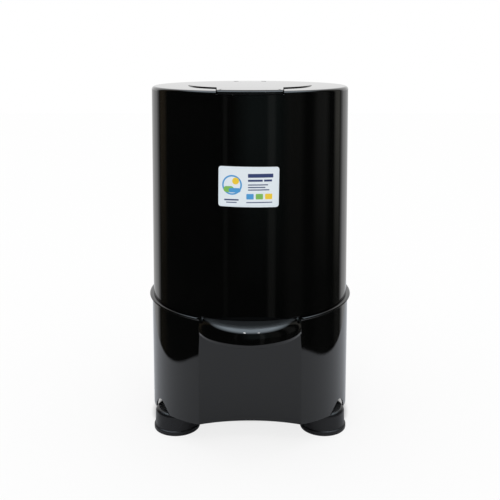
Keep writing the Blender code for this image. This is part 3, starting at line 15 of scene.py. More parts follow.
import bmesh
import bpy
import numpy as np
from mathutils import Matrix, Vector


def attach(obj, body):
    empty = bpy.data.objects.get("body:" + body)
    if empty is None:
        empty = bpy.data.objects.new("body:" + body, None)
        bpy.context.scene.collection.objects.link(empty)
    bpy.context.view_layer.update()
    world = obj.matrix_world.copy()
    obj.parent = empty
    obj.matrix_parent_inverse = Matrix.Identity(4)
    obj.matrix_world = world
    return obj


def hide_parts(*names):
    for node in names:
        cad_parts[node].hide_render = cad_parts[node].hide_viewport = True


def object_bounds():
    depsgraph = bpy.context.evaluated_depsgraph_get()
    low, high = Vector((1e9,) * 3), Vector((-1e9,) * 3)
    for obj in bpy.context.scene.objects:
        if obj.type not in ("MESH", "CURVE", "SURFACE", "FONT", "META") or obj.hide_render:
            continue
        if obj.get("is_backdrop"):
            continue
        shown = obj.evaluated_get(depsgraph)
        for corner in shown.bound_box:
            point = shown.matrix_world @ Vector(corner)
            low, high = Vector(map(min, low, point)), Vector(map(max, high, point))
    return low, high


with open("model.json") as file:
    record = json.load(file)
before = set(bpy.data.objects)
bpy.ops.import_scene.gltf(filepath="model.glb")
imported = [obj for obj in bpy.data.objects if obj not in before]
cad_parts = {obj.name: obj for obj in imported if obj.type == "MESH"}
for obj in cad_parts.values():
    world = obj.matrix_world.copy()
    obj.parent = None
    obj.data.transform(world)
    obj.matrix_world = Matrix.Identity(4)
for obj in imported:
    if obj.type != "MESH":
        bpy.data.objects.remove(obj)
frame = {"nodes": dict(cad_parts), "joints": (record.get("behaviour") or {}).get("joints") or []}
cad_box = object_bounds()
MM = 0.001
drum_spin = next(joint for joint in frame["joints"] if joint["name"] == "drum_spin")
DRUM_AXIS = np.array([0.0, drum_spin["pos_m"][1], 0.0])
print("nodes in the packed model:", len(frame["nodes"]), "drum axis at", DRUM_AXIS)

# %% [markdown]
# ## The camera
#
# A product picture like this one is taken from a little above the lid, so the deck is a thin
# ellipse while the foot of the machine shows strong curves. The camera stands on the centre line
# and looks down by about twelve degrees. Its shift moves the frame down a little, so that the tilt
# can be smaller and the machine's sides stay nearly upright.

# %% Place the camera
CAMERA_DISTANCE = 1290
CAMERA_HEIGHT = 645
CAMERA_TILT = math.radians(11.9)
CAMERA_LENS = 55.3
CAMERA_SHIFT = -0.09
SENSOR_WIDTH = 36
camera_data = bpy.data.cameras.new("camera")
camera_data.sensor_width = SENSOR_WIDTH
camera_data.lens = CAMERA_LENS
camera_data.shift_y = CAMERA_SHIFT
camera = bpy.data.objects.new("camera", camera_data)
camera.location = (0, -CAMERA_DISTANCE * MM + DRUM_AXIS[1], CAMERA_HEIGHT * MM)
camera.rotation_euler = (math.pi / 2 - CAMERA_TILT, 0, 0)
bpy.context.scene.collection.objects.link(camera)
bpy.context.scene.camera = camera
print("camera lens", camera_data.lens, "mm at", tuple(round(v, 3) for v in camera.location))

# %% [markdown]
# ## From a grid of points to a mesh
#
# Almost everything here is a grid: rows of points along a profile, columns round the machine.
# One helper turns such a grid into faces, closes it where it wraps, merges the points that meet at
# a pole or a seam, and marks hard edges by their angle. Points that share a place are merged before
# the normals are worked out, because only a closed skin has an inside and an outside.

# %% Turn grids into meshes
SHARP_ANGLE = math.radians(34)
MERGE_DISTANCE = 2e-6


def clean(mesh):
    """Merges doubled points, drops loose edges and points, turns all faces outwards and marks the
    hard edges."""
    bm = bmesh.new()
    bm.from_mesh(mesh)
    bmesh.ops.remove_doubles(bm, verts=bm.verts, dist=MERGE_DISTANCE)
    bmesh.ops.delete(bm, geom=[edge for edge in bm.edges if not edge.link_faces], context="EDGES")
    bmesh.ops.delete(bm, geom=[vert for vert in bm.verts if not vert.link_faces], context="VERTS")
    bmesh.ops.recalc_face_normals(bm, faces=bm.faces)
    bm.to_mesh(mesh)
    bm.free()
    mesh.shade_smooth()
    mesh.set_sharp_from_angle(angle=SHARP_ANGLE)


def skin(name, grids, wrap_rows=True, wrap_columns=True, caps=False):
    """One object over grids of shape (rows, columns, 3): each cell of a grid becomes one face.
    Wrapping joins the last row or column to the first one, and caps close the two end columns."""
    points, faces, count = [], [], 0
    for grid in grids:
        rows, columns = grid.shape[:2]
        index = count + np.arange(rows * columns).reshape(rows, columns)
        below = np.roll(index, -1, axis=0)
        cells = np.stack([index, np.roll(index, -1, axis=1), np.roll(below, -1, axis=1), below], -1)
        cells = cells if wrap_rows else cells[:-1]
        cells = cells if wrap_columns else cells[:, :-1]
        faces += cells.reshape(-1, 4).tolist()
        faces += [index[:, 0].tolist(), index[::-1, -1].tolist()] if caps else []
        points.append(grid.reshape(-1, 3))
        count += rows * columns
    mesh = bpy.data.meshes.new(name)
    mesh.from_pydata((np.concatenate(points) * MM + DRUM_AXIS).tolist(), [], faces)
    clean(mesh)
    piece = bpy.data.objects.new(name, mesh)
    bpy.context.scene.collection.objects.link(piece)
    return piece


def at_level(points, level):
    """Flat points (x, y) lifted to a level, which is one number or one for each point."""
    return np.c_[points, np.broadcast_to(level, len(points))]


def place(piece, body, material, slot, *nodes):
    """Lets a finished piece ride on a body, in a material, and stand for the nodes it replaces."""
    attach(piece, body)
    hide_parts(*nodes)
    piece.data.materials.clear()
    piece.data.materials.append(material)
    print(f"{piece.name}: {len(piece.data.polygons)} faces on {body}")


# %% [markdown]
# ## Rounded corners and turned profiles
#
# Moulded plastic has no sharp corners: each has a small radius, and on black gloss that radius is
# what the eye sees, as a thin bright line. A profile is written as corners with a radius each. Every
# corner becomes an arc, with one more point a little before and after it, which keeps the flats
# beside it flat when the shading is smoothed. Turning the profile round the axis gives the piece.

# %% Round the corners of a profile and turn it
HOLD = 0.4
SIDE_SHARE = 0.3
ARC_SHARE = 0.66


def soften(corners, steps=5, closed=True):
    """A loop or line of (x, y, radius): each corner P turns on an arc whose centre lies on the
    corner's bisector at radius / sin(half angle), and which starts radius / tan(half angle) from P.
    On a short side that is at most SIDE_SHARE / ARC_SHARE of the side."""
    corners = np.asarray(corners, float)
    corner, radius = corners[:, :2], corners[:, 2:]
    back = np.roll(corner, 1, axis=0) - corner
    ahead = np.roll(corner, -1, axis=0) - corner
    shorter = np.minimum(np.linalg.norm(back, axis=1), np.linalg.norm(ahead, axis=1))
    room = SIDE_SHARE * shorter[:, None]
    back = back / np.linalg.norm(back, axis=1, keepdims=True)
    ahead = ahead / np.linalg.norm(ahead, axis=1, keepdims=True)
    half = np.arccos(np.clip((back * ahead).sum(axis=1, keepdims=True), -1, 1)) / 2
    half = np.clip(half, 1e-3, math.pi / 2 - 1e-3)
    radius = np.minimum(radius, room / ARC_SHARE * np.tan(half))
    bisector = (back + ahead) / np.maximum(np.linalg.norm(back + ahead, axis=1, keepdims=True), 1e-9)
    centre = corner + bisector * radius / np.sin(half)
    start = corner + back * radius / np.tan(half)
    end = corner + ahead * radius / np.tan(half)
    sweep = (math.pi - 2 * half)[:, None]
    t = np.linspace(0, 1, steps + 1)[None, :, None]
    arc = np.sin((1 - t) * sweep) * (start - centre)[:, None] + np.sin(t * sweep) * (end - centre)[:, None]
    arc = centre[:, None] + arc / np.sin(sweep)
    hold = np.minimum(HOLD, room / 2)
    loop = np.concatenate([(start + back * hold)[:, None], arc, (end + ahead * hold)[:, None]], axis=1)
    if closed:
        return loop.reshape(-1, 2)
    ends = corner[:1], loop[0, -1:], loop[1:-1].reshape(-1, 2), loop[-1, :1], corner[-1:]
    return np.concatenate(ends)


def turned(profile, steps, centre=(0, 0)):
    """Each profile point (r, z) goes round a vertical axis: (r cos a, r sin a, z). steps is a count of
    even steps, or the angles themselves."""
    angle = np.linspace(0, 2 * np.pi, steps, endpoint=False) if isinstance(steps, int) else steps
    radius, height = profile[:, 0, None], profile[:, 1, None]
    x = centre[0] + radius * np.cos(angle)
    y = centre[1] + radius * np.sin(angle)
    return np.stack([x, y, height + 0 * angle], axis=-1)


square = soften([(0, 0, 1), (10, 0, 1), (10, 10, 1), (0, 10, 1)])
print("a square of 10 mm, softened:", len(square), "points")

# %% [markdown]
# ## Finishes that several materials share
#
# A material is a small web of nodes, and it is easier to follow when one line makes a node. So a few
# helpers come first. Each adds a node, links or sets what it is given, and gives back the socket
# that the next node needs.

# %% Make nodes and links with short calls


def feed(tree, socket, value):
    """Links an output to a socket, or sets a plain value there. None leaves the socket alone."""
    if isinstance(value, bpy.types.NodeSocket):
        tree.links.new(value, socket)
    elif value is not None:
        socket.default_value = value


def feed_all(tree, node, **values):
    """Feeds a node's inputs by their names, in which an underscore stands for a space."""
    for label, value in values.items():
        feed(tree, node.inputs[label.replace("_", " ")], value)


def math_node(tree, operation, first, second=None):
    """A Math node over sockets or plain numbers; gives its output socket."""
    node = tree.nodes.new("ShaderNodeMath")
    node.operation = operation
    feed(tree, node.inputs[0], first)
    feed(tree, node.inputs[1], second)
    return node.outputs[0]


def length_node(tree, across, up):
    """The length of two sides square to each other: the root of the sum of their squares."""
    squares = [math_node(tree, "MULTIPLY", side, side) for side in (across, up)]
    return math_node(tree, "SQRT", math_node(tree, "ADD", *squares))


def range_node(tree, value, low, high, new_low, new_high):
    """A Map Range node from low..high to new_low..new_high, each a number or a socket."""
    node = tree.nodes.new("ShaderNodeMapRange")
    for socket, given in zip(node.inputs, (value, low, high, new_low, new_high)):
        feed(tree, socket, given)
    return node.outputs[0]


def noise_node(tree, scale, detail, vector, roughness=0.5):
    """A Noise Texture over a vector socket; its scale is a socket or a number."""
    node = tree.nodes.new("ShaderNodeTexNoise")
    feed_all(tree, node, Scale=scale, Detail=detail, Roughness=roughness, Vector=vector)
    return node.outputs["Fac"]


def bump_node(tree, height, strength, distance, under=None):
    """A Bump node; under is the normal of another Bump that it adds to."""
    node = tree.nodes.new("ShaderNodeBump")
    feed_all(tree, node, Height=height, Strength=strength, Distance=distance, Normal=under)
    return node.outputs["Normal"]


def mix_node(tree, share, under, over, blend="MIX"):
    """A Mix node over two colours, each a socket or (red, green, blue, 1)."""
    node = tree.nodes.new("ShaderNodeMix")
    node.data_type = "RGBA"
    node.blend_type = blend
    feed_all(tree, node, Factor=share, A=under, B=over)
    return node.outputs["Result"]


def split_node(tree, vector):
    """The parts X, Y and Z of a vector, as sockets."""
    node = tree.nodes.new("ShaderNodeSeparateXYZ")
    feed(tree, node.inputs[0], vector)
    return node.outputs


def object_place(tree):
    """The Object coordinates, in metres."""
    return tree.nodes.new("ShaderNodeTexCoord").outputs["Object"]


# %% [markdown]
# Four effects come back in several places, so each is a node group that is built once. The first is
# the faint unevenness of a polished moulding, which bends long reflections very slightly. The
# second is a grain of fine pits, for rubber and cast metal. The third is the fine lines that turning
# or rolling leaves on metal. The last marks a rounded box, for the label's printing and for the
# floor. The groups give out only what varies over the surface, and each material sets its own plain
# values on its shader.

# %% Build the shared node groups
FLOAT = "NodeSocketFloat"
VECTOR = "NodeSocketVector"
STAMP_SOFT = 0.08


def new_group(name, inputs, outputs):
    """An empty node group with float inputs of given defaults and outputs of given kinds. Gives the
    group, the sockets that its inputs arrive at, and the node that its outputs leave by."""
    group = bpy.data.node_groups.new(name, "ShaderNodeTree")
    for label, value in inputs.items():
        socket = group.interface.new_socket(label, in_out="INPUT", socket_type=FLOAT)
        socket.default_value = value
    for label, kind in outputs.items():
        group.interface.new_socket(label, in_out="OUTPUT", socket_type=kind)
    return group, group.nodes.new("NodeGroupInput").outputs, group.nodes.new("NodeGroupOutput")


def build_polish():
    """Polish: broad flow waves under a fine orange peel, and a roughness that drifts a little."""
    group, given, out = new_group(
        "polish", {"Smooth": 0.03, "Dull": 0.06, "Flow": 0.02, "Peel": 0.01},
        {"Roughness": FLOAT, "Normal": VECTOR, "Film": FLOAT})
    spot = object_place(group)
    film = noise_node(group, 14.0, 4.0, spot, 0.6)
    lower = bump_node(group, noise_node(group, 9.0, 1.0, spot), given["Flow"], 0.01)
    upper = bump_node(group, noise_node(group, 420.0, 1.0, spot), given["Peel"], 0.0004, lower)
    rough = range_node(group, film, 0.3, 0.75, given["Smooth"], given["Dull"])
    feed_all(group, out, Roughness=rough, Normal=upper, Film=film)
    return group


def build_grain():
    """Grain: small pits over a slow mottle, for rubber, castings and matt mouldings."""
    group, given, out = new_group(
        "grain", {"Scale": 900.0, "Depth": 0.3, "Smooth": 0.4, "Dull": 0.6},
        {"Mottle": FLOAT, "Roughness": FLOAT, "Normal": VECTOR})
    spot = object_place(group)
    pits = noise_node(group, given["Scale"], 3.0, spot, 0.6)
    mottle = noise_node(group, 22.0, 3.0, spot)
    rough = range_node(group, mottle, 0.3, 0.7, given["Smooth"], given["Dull"])
    normal = bump_node(group, pits, given["Depth"], 0.0004)
    feed_all(group, out, Mottle=mottle, Roughness=rough, Normal=normal)
    return group


def build_rings():
    """Rings: fine lines round the machine's axis, as noise over height and radius alone."""
    group, given, out = new_group(
        "rings", {"Spacing": 1800.0, "Depth": 0.2, "Smooth": 0.2, "Dull": 0.4},
        {"Lines": FLOAT, "Roughness": FLOAT, "Normal": VECTOR})
    parts = split_node(group, object_place(group))
    back = math_node(group, "SUBTRACT", parts["Y"], float(DRUM_AXIS[1]))
    on_ring = group.nodes.new("ShaderNodeCombineXYZ")
    feed_all(group, on_ring, X=length_node(group, back, parts["X"]), Z=parts["Z"])
    lines = noise_node(group, given["Spacing"], 2.0, on_ring.outputs[0])
    rough = range_node(group, lines, 0.3, 0.7, given["Smooth"], given["Dull"])
    normal = bump_node(group, lines, given["Depth"], 0.0002)
    feed_all(group, out, Lines=lines, Roughness=rough, Normal=normal)
    return group


def build_stamp():
    """Stamp: 1 inside a rounded box, 0 outside. Distance = |max(|p - c| - size + r, 0)| - r."""
    group, given, out = new_group(
        "stamp", {"U": 0.0, "V": 0.0, "Across": 0.0, "Up": 0.0, "Half wide": 1.0, "Half high": 1.0,
                  "Round": 0.5}, {"Mask": FLOAT})
    sides = []
    for spot, centre, size in (("U", "Across", "Half wide"), ("V", "Up", "Half high")):
        away = math_node(group, "ABSOLUTE", math_node(group, "SUBTRACT", given[spot], given[centre]))
        past = math_node(group, "ADD", math_node(group, "SUBTRACT", away, given[size]), given["Round"])
        sides.append(math_node(group, "MAXIMUM", past, 0.0))
    distance = math_node(group, "SUBTRACT", length_node(group, *sides), given["Round"])
    feed_all(group, out, Mask=range_node(group, distance, -STAMP_SOFT, STAMP_SOFT, 1.0, 0.0))
    return group


POLISH = build_polish()
GRAIN = build_grain()
RINGS = build_rings()
STAMP = build_stamp()
print("shared node groups:", [group.name for group in bpy.data.node_groups])

# %% [markdown]
# ## The materials
#
# A material is one Principled shader, fed by a shared group. Its tone runs between two colours by
# one of the group's masks, so nothing is a single flat colour. The gloss black is nearly without
# colour of its own: what shows on it is the reflection, so its roughness and its flatness matter
# most. The metals differ by tone and by their lines or grain.

# %% Make a material from a group, two tones and plain shader values
TONE_PLACES = (0.3, 0.7)


def new_material(name, group, values, mask, tones, **shader_values):
    """A Principled material: the group's mask mixes two tones, its other outputs feed the shader."""
    material = bpy.data.materials.new(name)
    material.use_nodes = True
    tree = material.node_tree
    source = tree.nodes.new("ShaderNodeGroup")
    source.node_tree = group
    feed_all(tree, source, **values)
    ramp = tree.nodes.new("ShaderNodeValToRGB")
    for element, position, tone in zip(ramp.color_ramp.elements, TONE_PLACES, tones):
        element.position = position
        element.color = (*tone, 1)
    feed(tree, ramp.inputs[0], source.outputs[mask])
    feed_all(tree, tree.nodes["Principled BSDF"], Base_Color=ramp.outputs[0],
             Roughness=source.outputs["Roughness"], Normal=source.outputs["Normal"], **shader_values)
    return material


def grained(name, scale, depth, smooth, dull, *tones, **shader_values):
    """A material over the grain, for coats, castings, rubber and matt mouldings."""
    values = {"Scale": scale, "Depth": depth, "Smooth": smooth, "Dull": dull}
    return new_material(name, GRAIN, values, "Mottle", tones, **shader_values)


def lined(name, spacing, depth, smooth, dull, *tones, **shader_values):
    """A material over the rings, for turned, rolled, layered and wound metal."""
    values = {"Spacing": spacing, "Depth": depth, "Smooth": smooth, "Dull": dull}
    return new_material(name, RINGS, values, "Lines", tones, **shader_values)


GLOSS_BLACK = new_material(
    "gloss_black", POLISH, {"Smooth": 0.025, "Dull": 0.05, "Flow": 0.012, "Peel": 0.012}, "Film",
    [(0.0007, 0.0008, 0.0008), (0.0012, 0.0012, 0.0012)], IOR=1.5)
SATIN_BLACK = grained("satin_black", 1100.0, 0.15, 0.3, 0.42,
                      (0.008, 0.008, 0.009), (0.014, 0.014, 0.014), IOR=1.5)
BLACK_RUBBER = grained("black_rubber", 700.0, 0.22, 0.24, 0.38,
                       (0.004, 0.004, 0.005), (0.008, 0.008, 0.009), IOR=1.4)
GREY_PLASTIC = grained("grey_plastic", 1100.0, 0.2, 0.36, 0.5,
                       (0.19, 0.2, 0.21), (0.24, 0.25, 0.26), IOR=1.5)
WHITE_PLASTIC = grained("white_plastic", 1100.0, 0.12, 0.3, 0.44,
                        (0.66, 0.66, 0.62), (0.74, 0.74, 0.71), IOR=1.5)
LINING = grained("brake_lining", 1600.0, 0.8, 0.7, 0.9,
                 (0.07, 0.04, 0.025), (0.16, 0.1, 0.06), IOR=1.45)
ZINC_STEEL = grained("zinc_steel", 260.0, 0.12, 0.28, 0.46,
                     (0.5, 0.5, 0.47), (0.62, 0.62, 0.6), Metallic=1.0)
ALUMINIUM = grained("aluminium", 520.0, 0.5, 0.36, 0.56,
                    (0.42, 0.43, 0.44), (0.54, 0.55, 0.56), Metallic=1.0)
STAINLESS = lined("stainless", 2600.0, 0.2, 0.32, 0.5,
                  (0.54, 0.54, 0.53), (0.64, 0.64, 0.63), Metallic=1.0)
CORE_STEEL = lined("core_steel", 1500.0, 0.9, 0.4, 0.7,
                   (0.1, 0.1, 0.11), (0.3, 0.3, 0.3), Metallic=0.8)
COPPER = lined("copper", 900.0, 1.0, 0.25, 0.5,
               (0.28, 0.08, 0.03), (0.6, 0.24, 0.09), Metallic=0.7)
print("materials:", len(bpy.data.materials))

# %% [markdown]
# ## The outer casing
#
# The casing is one deep moulding: a wall that narrows a little towards the top, a tight rounded
# shoulder, a flat deck, and a round neck with a ledge that the lid closes. It is turned in one go
# from a closed profile. The slot for the lid's tab, the notch for its tongue and the hinge pocket are
# then cut out, as a tool would cut them, with an exact Boolean that is applied at once.

# %% Turn the casing and cut its openings
SEAM = 225.3
TAPER_LOW = 225.0
DECK = 578.0
DECK_SUNK = 1.5
SEAM_RADIUS = 167.5
DECK_RADIUS = 162.0
SHOULDER = 5.0
WALL = 2.6
LID_RADIUS = 101.0
LID_GAP = 1.2
LEDGE_TOP = 566.1
LEDGE_LOW = 563.5
LEDGE_RADIUS = 95.0
TAB_REAR = 52.0
TAB_FRONT = 49.0
RIM_LOW = 572.0
TONGUE = 20.0
HINGE_Y = 113.0
CUT_TOP = 584.0
TAB_CUT_REAR = 50.0
TAB_CUT_FRONT = 180.0
NOTCH_FRONT = 20.0
POCKET_SIDE = 8.0
POCKET_REAR = 119.2
POCKET_LOW = 569.4
POCKET_GAP = 0.3


def casing_radius(height):
    """The casing's outer radius: a straight taper from the seam to the deck."""
    return SEAM_RADIUS + (DECK_RADIUS - SEAM_RADIUS) * (height - TAPER_LOW) / (DECK - TAPER_LOW)


def cut_away(piece, cutters):
    """Cuts each closed cutter out of the piece with an applied Boolean, and removes the cutters."""
    for cutter in cutters:
        modifier = piece.modifiers.new("cut", "BOOLEAN")
        modifier.object = cutter
        modifier.solver = "EXACT"
        graph = bpy.context.evaluated_depsgraph_get()
        result = bpy.data.meshes.new_from_object(piece.evaluated_get(graph))
        piece.modifiers.clear()
        piece.data = result
        bpy.data.objects.remove(cutter)
    clean(piece.data)


def box_cutter(name, low, high):
    """A closed box between two corners, as a prism."""
    (x0, y0, z0), (x1, y1, z1) = low, high
    grid = np.array([[(x0, y0, z0), (x0, y0, z1)], [(x1, y0, z0), (x1, y0, z1)],
                     [(x1, y1, z0), (x1, y1, z1)], [(x0, y1, z0), (x0, y1, z1)]], float)
    return skin(name, [grid], wrap_columns=False, caps=True)


neck = LID_RADIUS + LID_GAP
slot_low = RIM_LOW - LID_GAP
slot_half = TONGUE + LID_GAP
pocket_half = slot_half + POCKET_SIDE + LID_GAP
tab_front_y = math.sqrt(DECK_RADIUS ** 2 - TAB_FRONT ** 2)


def tab_cutter():
    """The tab's straight-sided outline, widened by the gap, from inside the neck to past the front."""
    rear_y = math.sqrt(LID_RADIUS ** 2 - TAB_REAR ** 2)
    taper = (TAB_REAR - TAB_FRONT) / (tab_front_y - rear_y)
    rear_half = TAB_REAR + LID_GAP + taper * (rear_y - TAB_CUT_REAR)
    front_half = TAB_REAR + LID_GAP + taper * (rear_y - TAB_CUT_FRONT)
    corners = [(-rear_half, -TAB_CUT_REAR), (-front_half, -TAB_CUT_FRONT),
               (front_half, -TAB_CUT_FRONT), (rear_half, -TAB_CUT_REAR)]
    grid = np.array([[(x, y, slot_low), (x, y, CUT_TOP)] for x, y in corners], float)
    return skin("tab_cutter", [grid], wrap_columns=False, caps=True)


casing_profile = soften([
    (SEAM_RADIUS, SEAM, 0.8), (DECK_RADIUS, DECK - DECK_SUNK, SHOULDER), (neck, DECK - DECK_SUNK, 0.6),
    (neck, LEDGE_TOP, 1.0), (LEDGE_RADIUS, LEDGE_TOP, 0.8), (LEDGE_RADIUS, LEDGE_LOW, 0.8),
    (neck + WALL, LEDGE_LOW, 0.5), (neck + WALL, DECK - WALL - DECK_SUNK, 1.0),
    (DECK_RADIUS - WALL, DECK - WALL - DECK_SUNK, SHOULDER - WALL), (SEAM_RADIUS - WALL, SEAM, 0.8)], steps=7)
casing = skin("casing", [turned(casing_profile, 360)])
cut_away(casing, [
    tab_cutter(),
    box_cutter("tongue_cutter", (-slot_half, NOTCH_FRONT, slot_low), (slot_half, HINGE_Y, CUT_TOP)),
    box_cutter("hinge_cutter", (-pocket_half, neck + WALL + POCKET_GAP, POCKET_LOW),
               (pocket_half, POCKET_REAR, CUT_TOP))])
place(casing, "housing", GLOSS_BLACK, "gloss_black", "outer_casing")

# %% [markdown]
# ## The lid
#
# The lid is a flat disc with a tab that runs to the front edge, where it bends down with the casing's
# shoulder. Seen from the axis, its outline is met only once in each direction, so the whole top can be
# drawn as rings: the outline itself, then the same outline drawn in step by step to the centre. Near
# the edge the steps are measured square to the outline, further in they are shares of it, and one
# ring between blends the two.

# %% Draw the lid's outline and its rings
LID_EDGE = 0.8
LID_SPACING = 1.1
LID_SHARES = (0, 0.3, 0.6, 0.85)
LID_INSETS = (5.8, 4.9, 4.0, 2.2, LID_EDGE + HOLD)
CORNER_ROOM = 2.4
FRONT_PROUD = 0.08
RIM_UP = 0.4
RIM_IN = 0.3
UNDER_INSET = 3.5
UNDER_ROUND = 0.6
TAB_INNER_CORNER = 3
TAB_OUTER_CORNER = 2.5


def resample(outline, spacing):
    """Evenly spaced points along a closed outline, found by its running length."""
    closed = np.concatenate([outline, outline[:1]])
    run = np.concatenate([[0], np.cumsum(np.linalg.norm(np.diff(closed, axis=0), axis=1))])
    at = np.linspace(0, run[-1], int(run[-1] / spacing), endpoint=False)
    return np.stack([np.interp(at, run, closed[:, axis]) for axis in (0, 1)], axis=1)


def arc_points(radius, start, end, steps, centre=(0, 0)):
    """Points on an arc, its angles in degrees from +X."""
    angle = np.radians(np.linspace(start, end, steps))
    return np.stack([centre[0] + radius * np.cos(angle), centre[1] + radius * np.sin(angle)], axis=1)


def lid_outline():
    """Round the back at the lid's radius, then out along the tab to the casing's front."""
    joint = math.degrees(math.asin(TAB_REAR / LID_RADIUS))
    corner = math.degrees(math.asin(TAB_FRONT / DECK_RADIUS))
    back = arc_points(LID_RADIUS, joint - 90, 270 - joint, 90)
    front = arc_points(DECK_RADIUS, 270 - corner, 270 + corner, 16)
    radii = np.zeros(len(back) + len(front))
    radii[[0, len(back) - 1]] = TAB_INNER_CORNER
    radii[[len(back), -1]] = TAB_OUTER_CORNER
    return resample(soften(np.c_[np.concatenate([back, front]), radii]), LID_SPACING)


def inward(outline):
    """The unit normal of a closed outline that runs anticlockwise, pointing in: its direction,
    turned a quarter to the left."""
    along = np.roll(outline, -1, axis=0) - np.roll(outline, 1, axis=0)
    along = along / np.linalg.norm(along, axis=1, keepdims=True)
    return np.stack([-along[:, 1], along[:, 0]], axis=1)


def lid_top(points):
    """The deck's level, bent down near the front edge on the shoulder's circle: d mm past the start
    of the bend it has fallen by R - sqrt(R^2 - d^2)."""
    beyond = np.linalg.norm(points, axis=-1) - (DECK_RADIUS + FRONT_PROUD - SHOULDER)
    fall = SHOULDER - np.sqrt(np.maximum(SHOULDER ** 2 - np.maximum(beyond, 0) ** 2, 0))
    return DECK - fall


lid_edge = lid_outline()
lid_in = inward(lid_edge)
rounding = np.radians(np.linspace(0, 90, 5))
tab_corner = np.array([TAB_FRONT, -tab_front_y])
corner_room = np.linalg.norm(np.abs(lid_edge) * (1, -1) - tab_corner, axis=1)[:, None]
corner_room = np.maximum(corner_room, CORNER_ROOM)
flat_rings = [lid_edge * share for share in LID_SHARES]
inset_rings = [lid_edge + lid_in * np.minimum(inset, corner_room) for inset in LID_INSETS]
between = 0.2 * LID_SHARES[-1] * lid_edge + 0.8 * inset_rings[0]
rings = [at_level(ring, lid_top(ring)) for ring in flat_rings + [between] + inset_rings]
for angle in rounding:
    ring = lid_edge + lid_in * LID_EDGE * (1 - math.sin(angle))
    level = lid_top(lid_edge + lid_in * LID_EDGE) - LID_EDGE * (1 - math.cos(angle))
    rings.append(at_level(ring, level))
for inset, up in ((0, RIM_UP), (RIM_IN, 0), (WALL - RIM_IN, 0), (WALL, RIM_UP)):
    rings.append(at_level(lid_edge + lid_in * inset, RIM_LOW + up))
under = lid_top(lid_edge + lid_in * UNDER_INSET) - WALL
rings.append(at_level(lid_edge + lid_in * WALL, under - UNDER_ROUND))
rings.append(at_level(lid_edge + lid_in * UNDER_INSET, under))
rings += [at_level(lid_edge * share, lid_top(lid_edge * share) - WALL) for share in (0.85, 0.5, 0)]
tongue_profile = np.array([
    (LEDGE_RADIUS, 577.9), (HINGE_Y - 0.5, 577.9), (HINGE_Y + 2, 577.4), (HINGE_Y + 3.5, 576),
    (HINGE_Y + 4, 574), (HINGE_Y + 3.4, 572), (HINGE_Y + 2, 570.6), (HINGE_Y, 570),
    (HINGE_Y - 2.2, 570.8), (HINGE_Y - 4, 573), (HINGE_Y - 6, 575.1), (LEDGE_RADIUS, 575.1)])
tongue_places = (-TONGUE, HOLD - TONGUE, TONGUE - HOLD, TONGUE)
tongue = np.stack([np.c_[np.full(len(tongue_profile), x), tongue_profile] for x in tongue_places], axis=1)
lid = skin("lid", [np.stack(rings)], wrap_rows=False)
lid_tongue = skin("lid_tongue", [tongue], wrap_columns=False, caps=True)
place(lid, "lid", GLOSS_BLACK, "gloss_black", "lid_panel")
place(lid_tongue, "lid", GLOSS_BLACK, "gloss_black", "lid_panel")

# %% [markdown]
# ## The base shell
#
# The base is a skirt, slightly wider than the casing, with a thin lip along its top, a hollow front and a
# lower edge that rises to the front and arches over each foot. A Boolean would leave that edge sharp,
# so the skirt is drawn as columns instead: each column starts on the edge curve and climbs to the
# lip. The edge curve is moved along its own normal to round it, and the columns crowd together
# where an arch stands steep.

# %% Describe the base's plan and its lower edge
BASE_LOW = 17.0
BASE_TOP = 225.0
BASE_BOTTOM_RADIUS = 171.5
BASE_TOP_RADIUS = 169.7
LIP_RADIUS = 174.1
HOLLOW_RADIUS = 181.1
HOLLOW_CENTRE = 312.1
CREASE_ROUND = 1.6
ARCH_LEVEL = 19.0
ARCH_SLOPE = 0.155
NOTCH_ARC = 36.5
NOTCH_SIDE = 6.0
NOTCH_AZIMUTHS = (61.5, 180.0, 298.5)
NOTCH_REACH = 0.3
NOTCH_TRIALS = 400
NOTCH_COLUMNS = 22
EDGE_ROUND = 0.9
COLUMNS_PER_RADIAN = 60
HOLLOW_STEPS = 61
CREASE_STEPS = 7


def crease_azimuth(radius, hollow):
    """Where a circle of radius r about the axis meets the hollow's circle of radius h, in radians
    from the front. With c as the distance of their centres, r^2 + 2 c y + c^2 = h^2 gives its y."""
    y = (hollow ** 2 - radius ** 2 - HOLLOW_CENTRE ** 2) / (2 * HOLLOW_CENTRE)
    return np.arccos(-y / radius)


def notch_side(azimuth, side):
    """Offsets in radians from a notch's middle to its outline, from the lower edge up to its apex:
    across = arc cos t - side, height = low + arc sin t, taken from where it rises over the arch."""
    steep = np.linspace(0, math.acos(NOTCH_SIDE / NOTCH_ARC), NOTCH_TRIALS)
    offset = side * np.arcsin((NOTCH_ARC * np.cos(steep) - NOTCH_SIDE) / BASE_BOTTOM_RADIUS)
    arch = ARCH_LEVEL + ARCH_SLOPE * BASE_BOTTOM_RADIUS * np.cos(azimuth + offset)
    start = np.argmax(BASE_LOW + NOTCH_ARC * np.sin(steep) >= np.maximum(BASE_LOW, arch))
    kept = np.linspace(steep[start], steep[-1], NOTCH_COLUMNS)
    return side * np.arcsin((NOTCH_ARC * np.cos(kept) - NOTCH_SIDE) / BASE_BOTTOM_RADIUS)


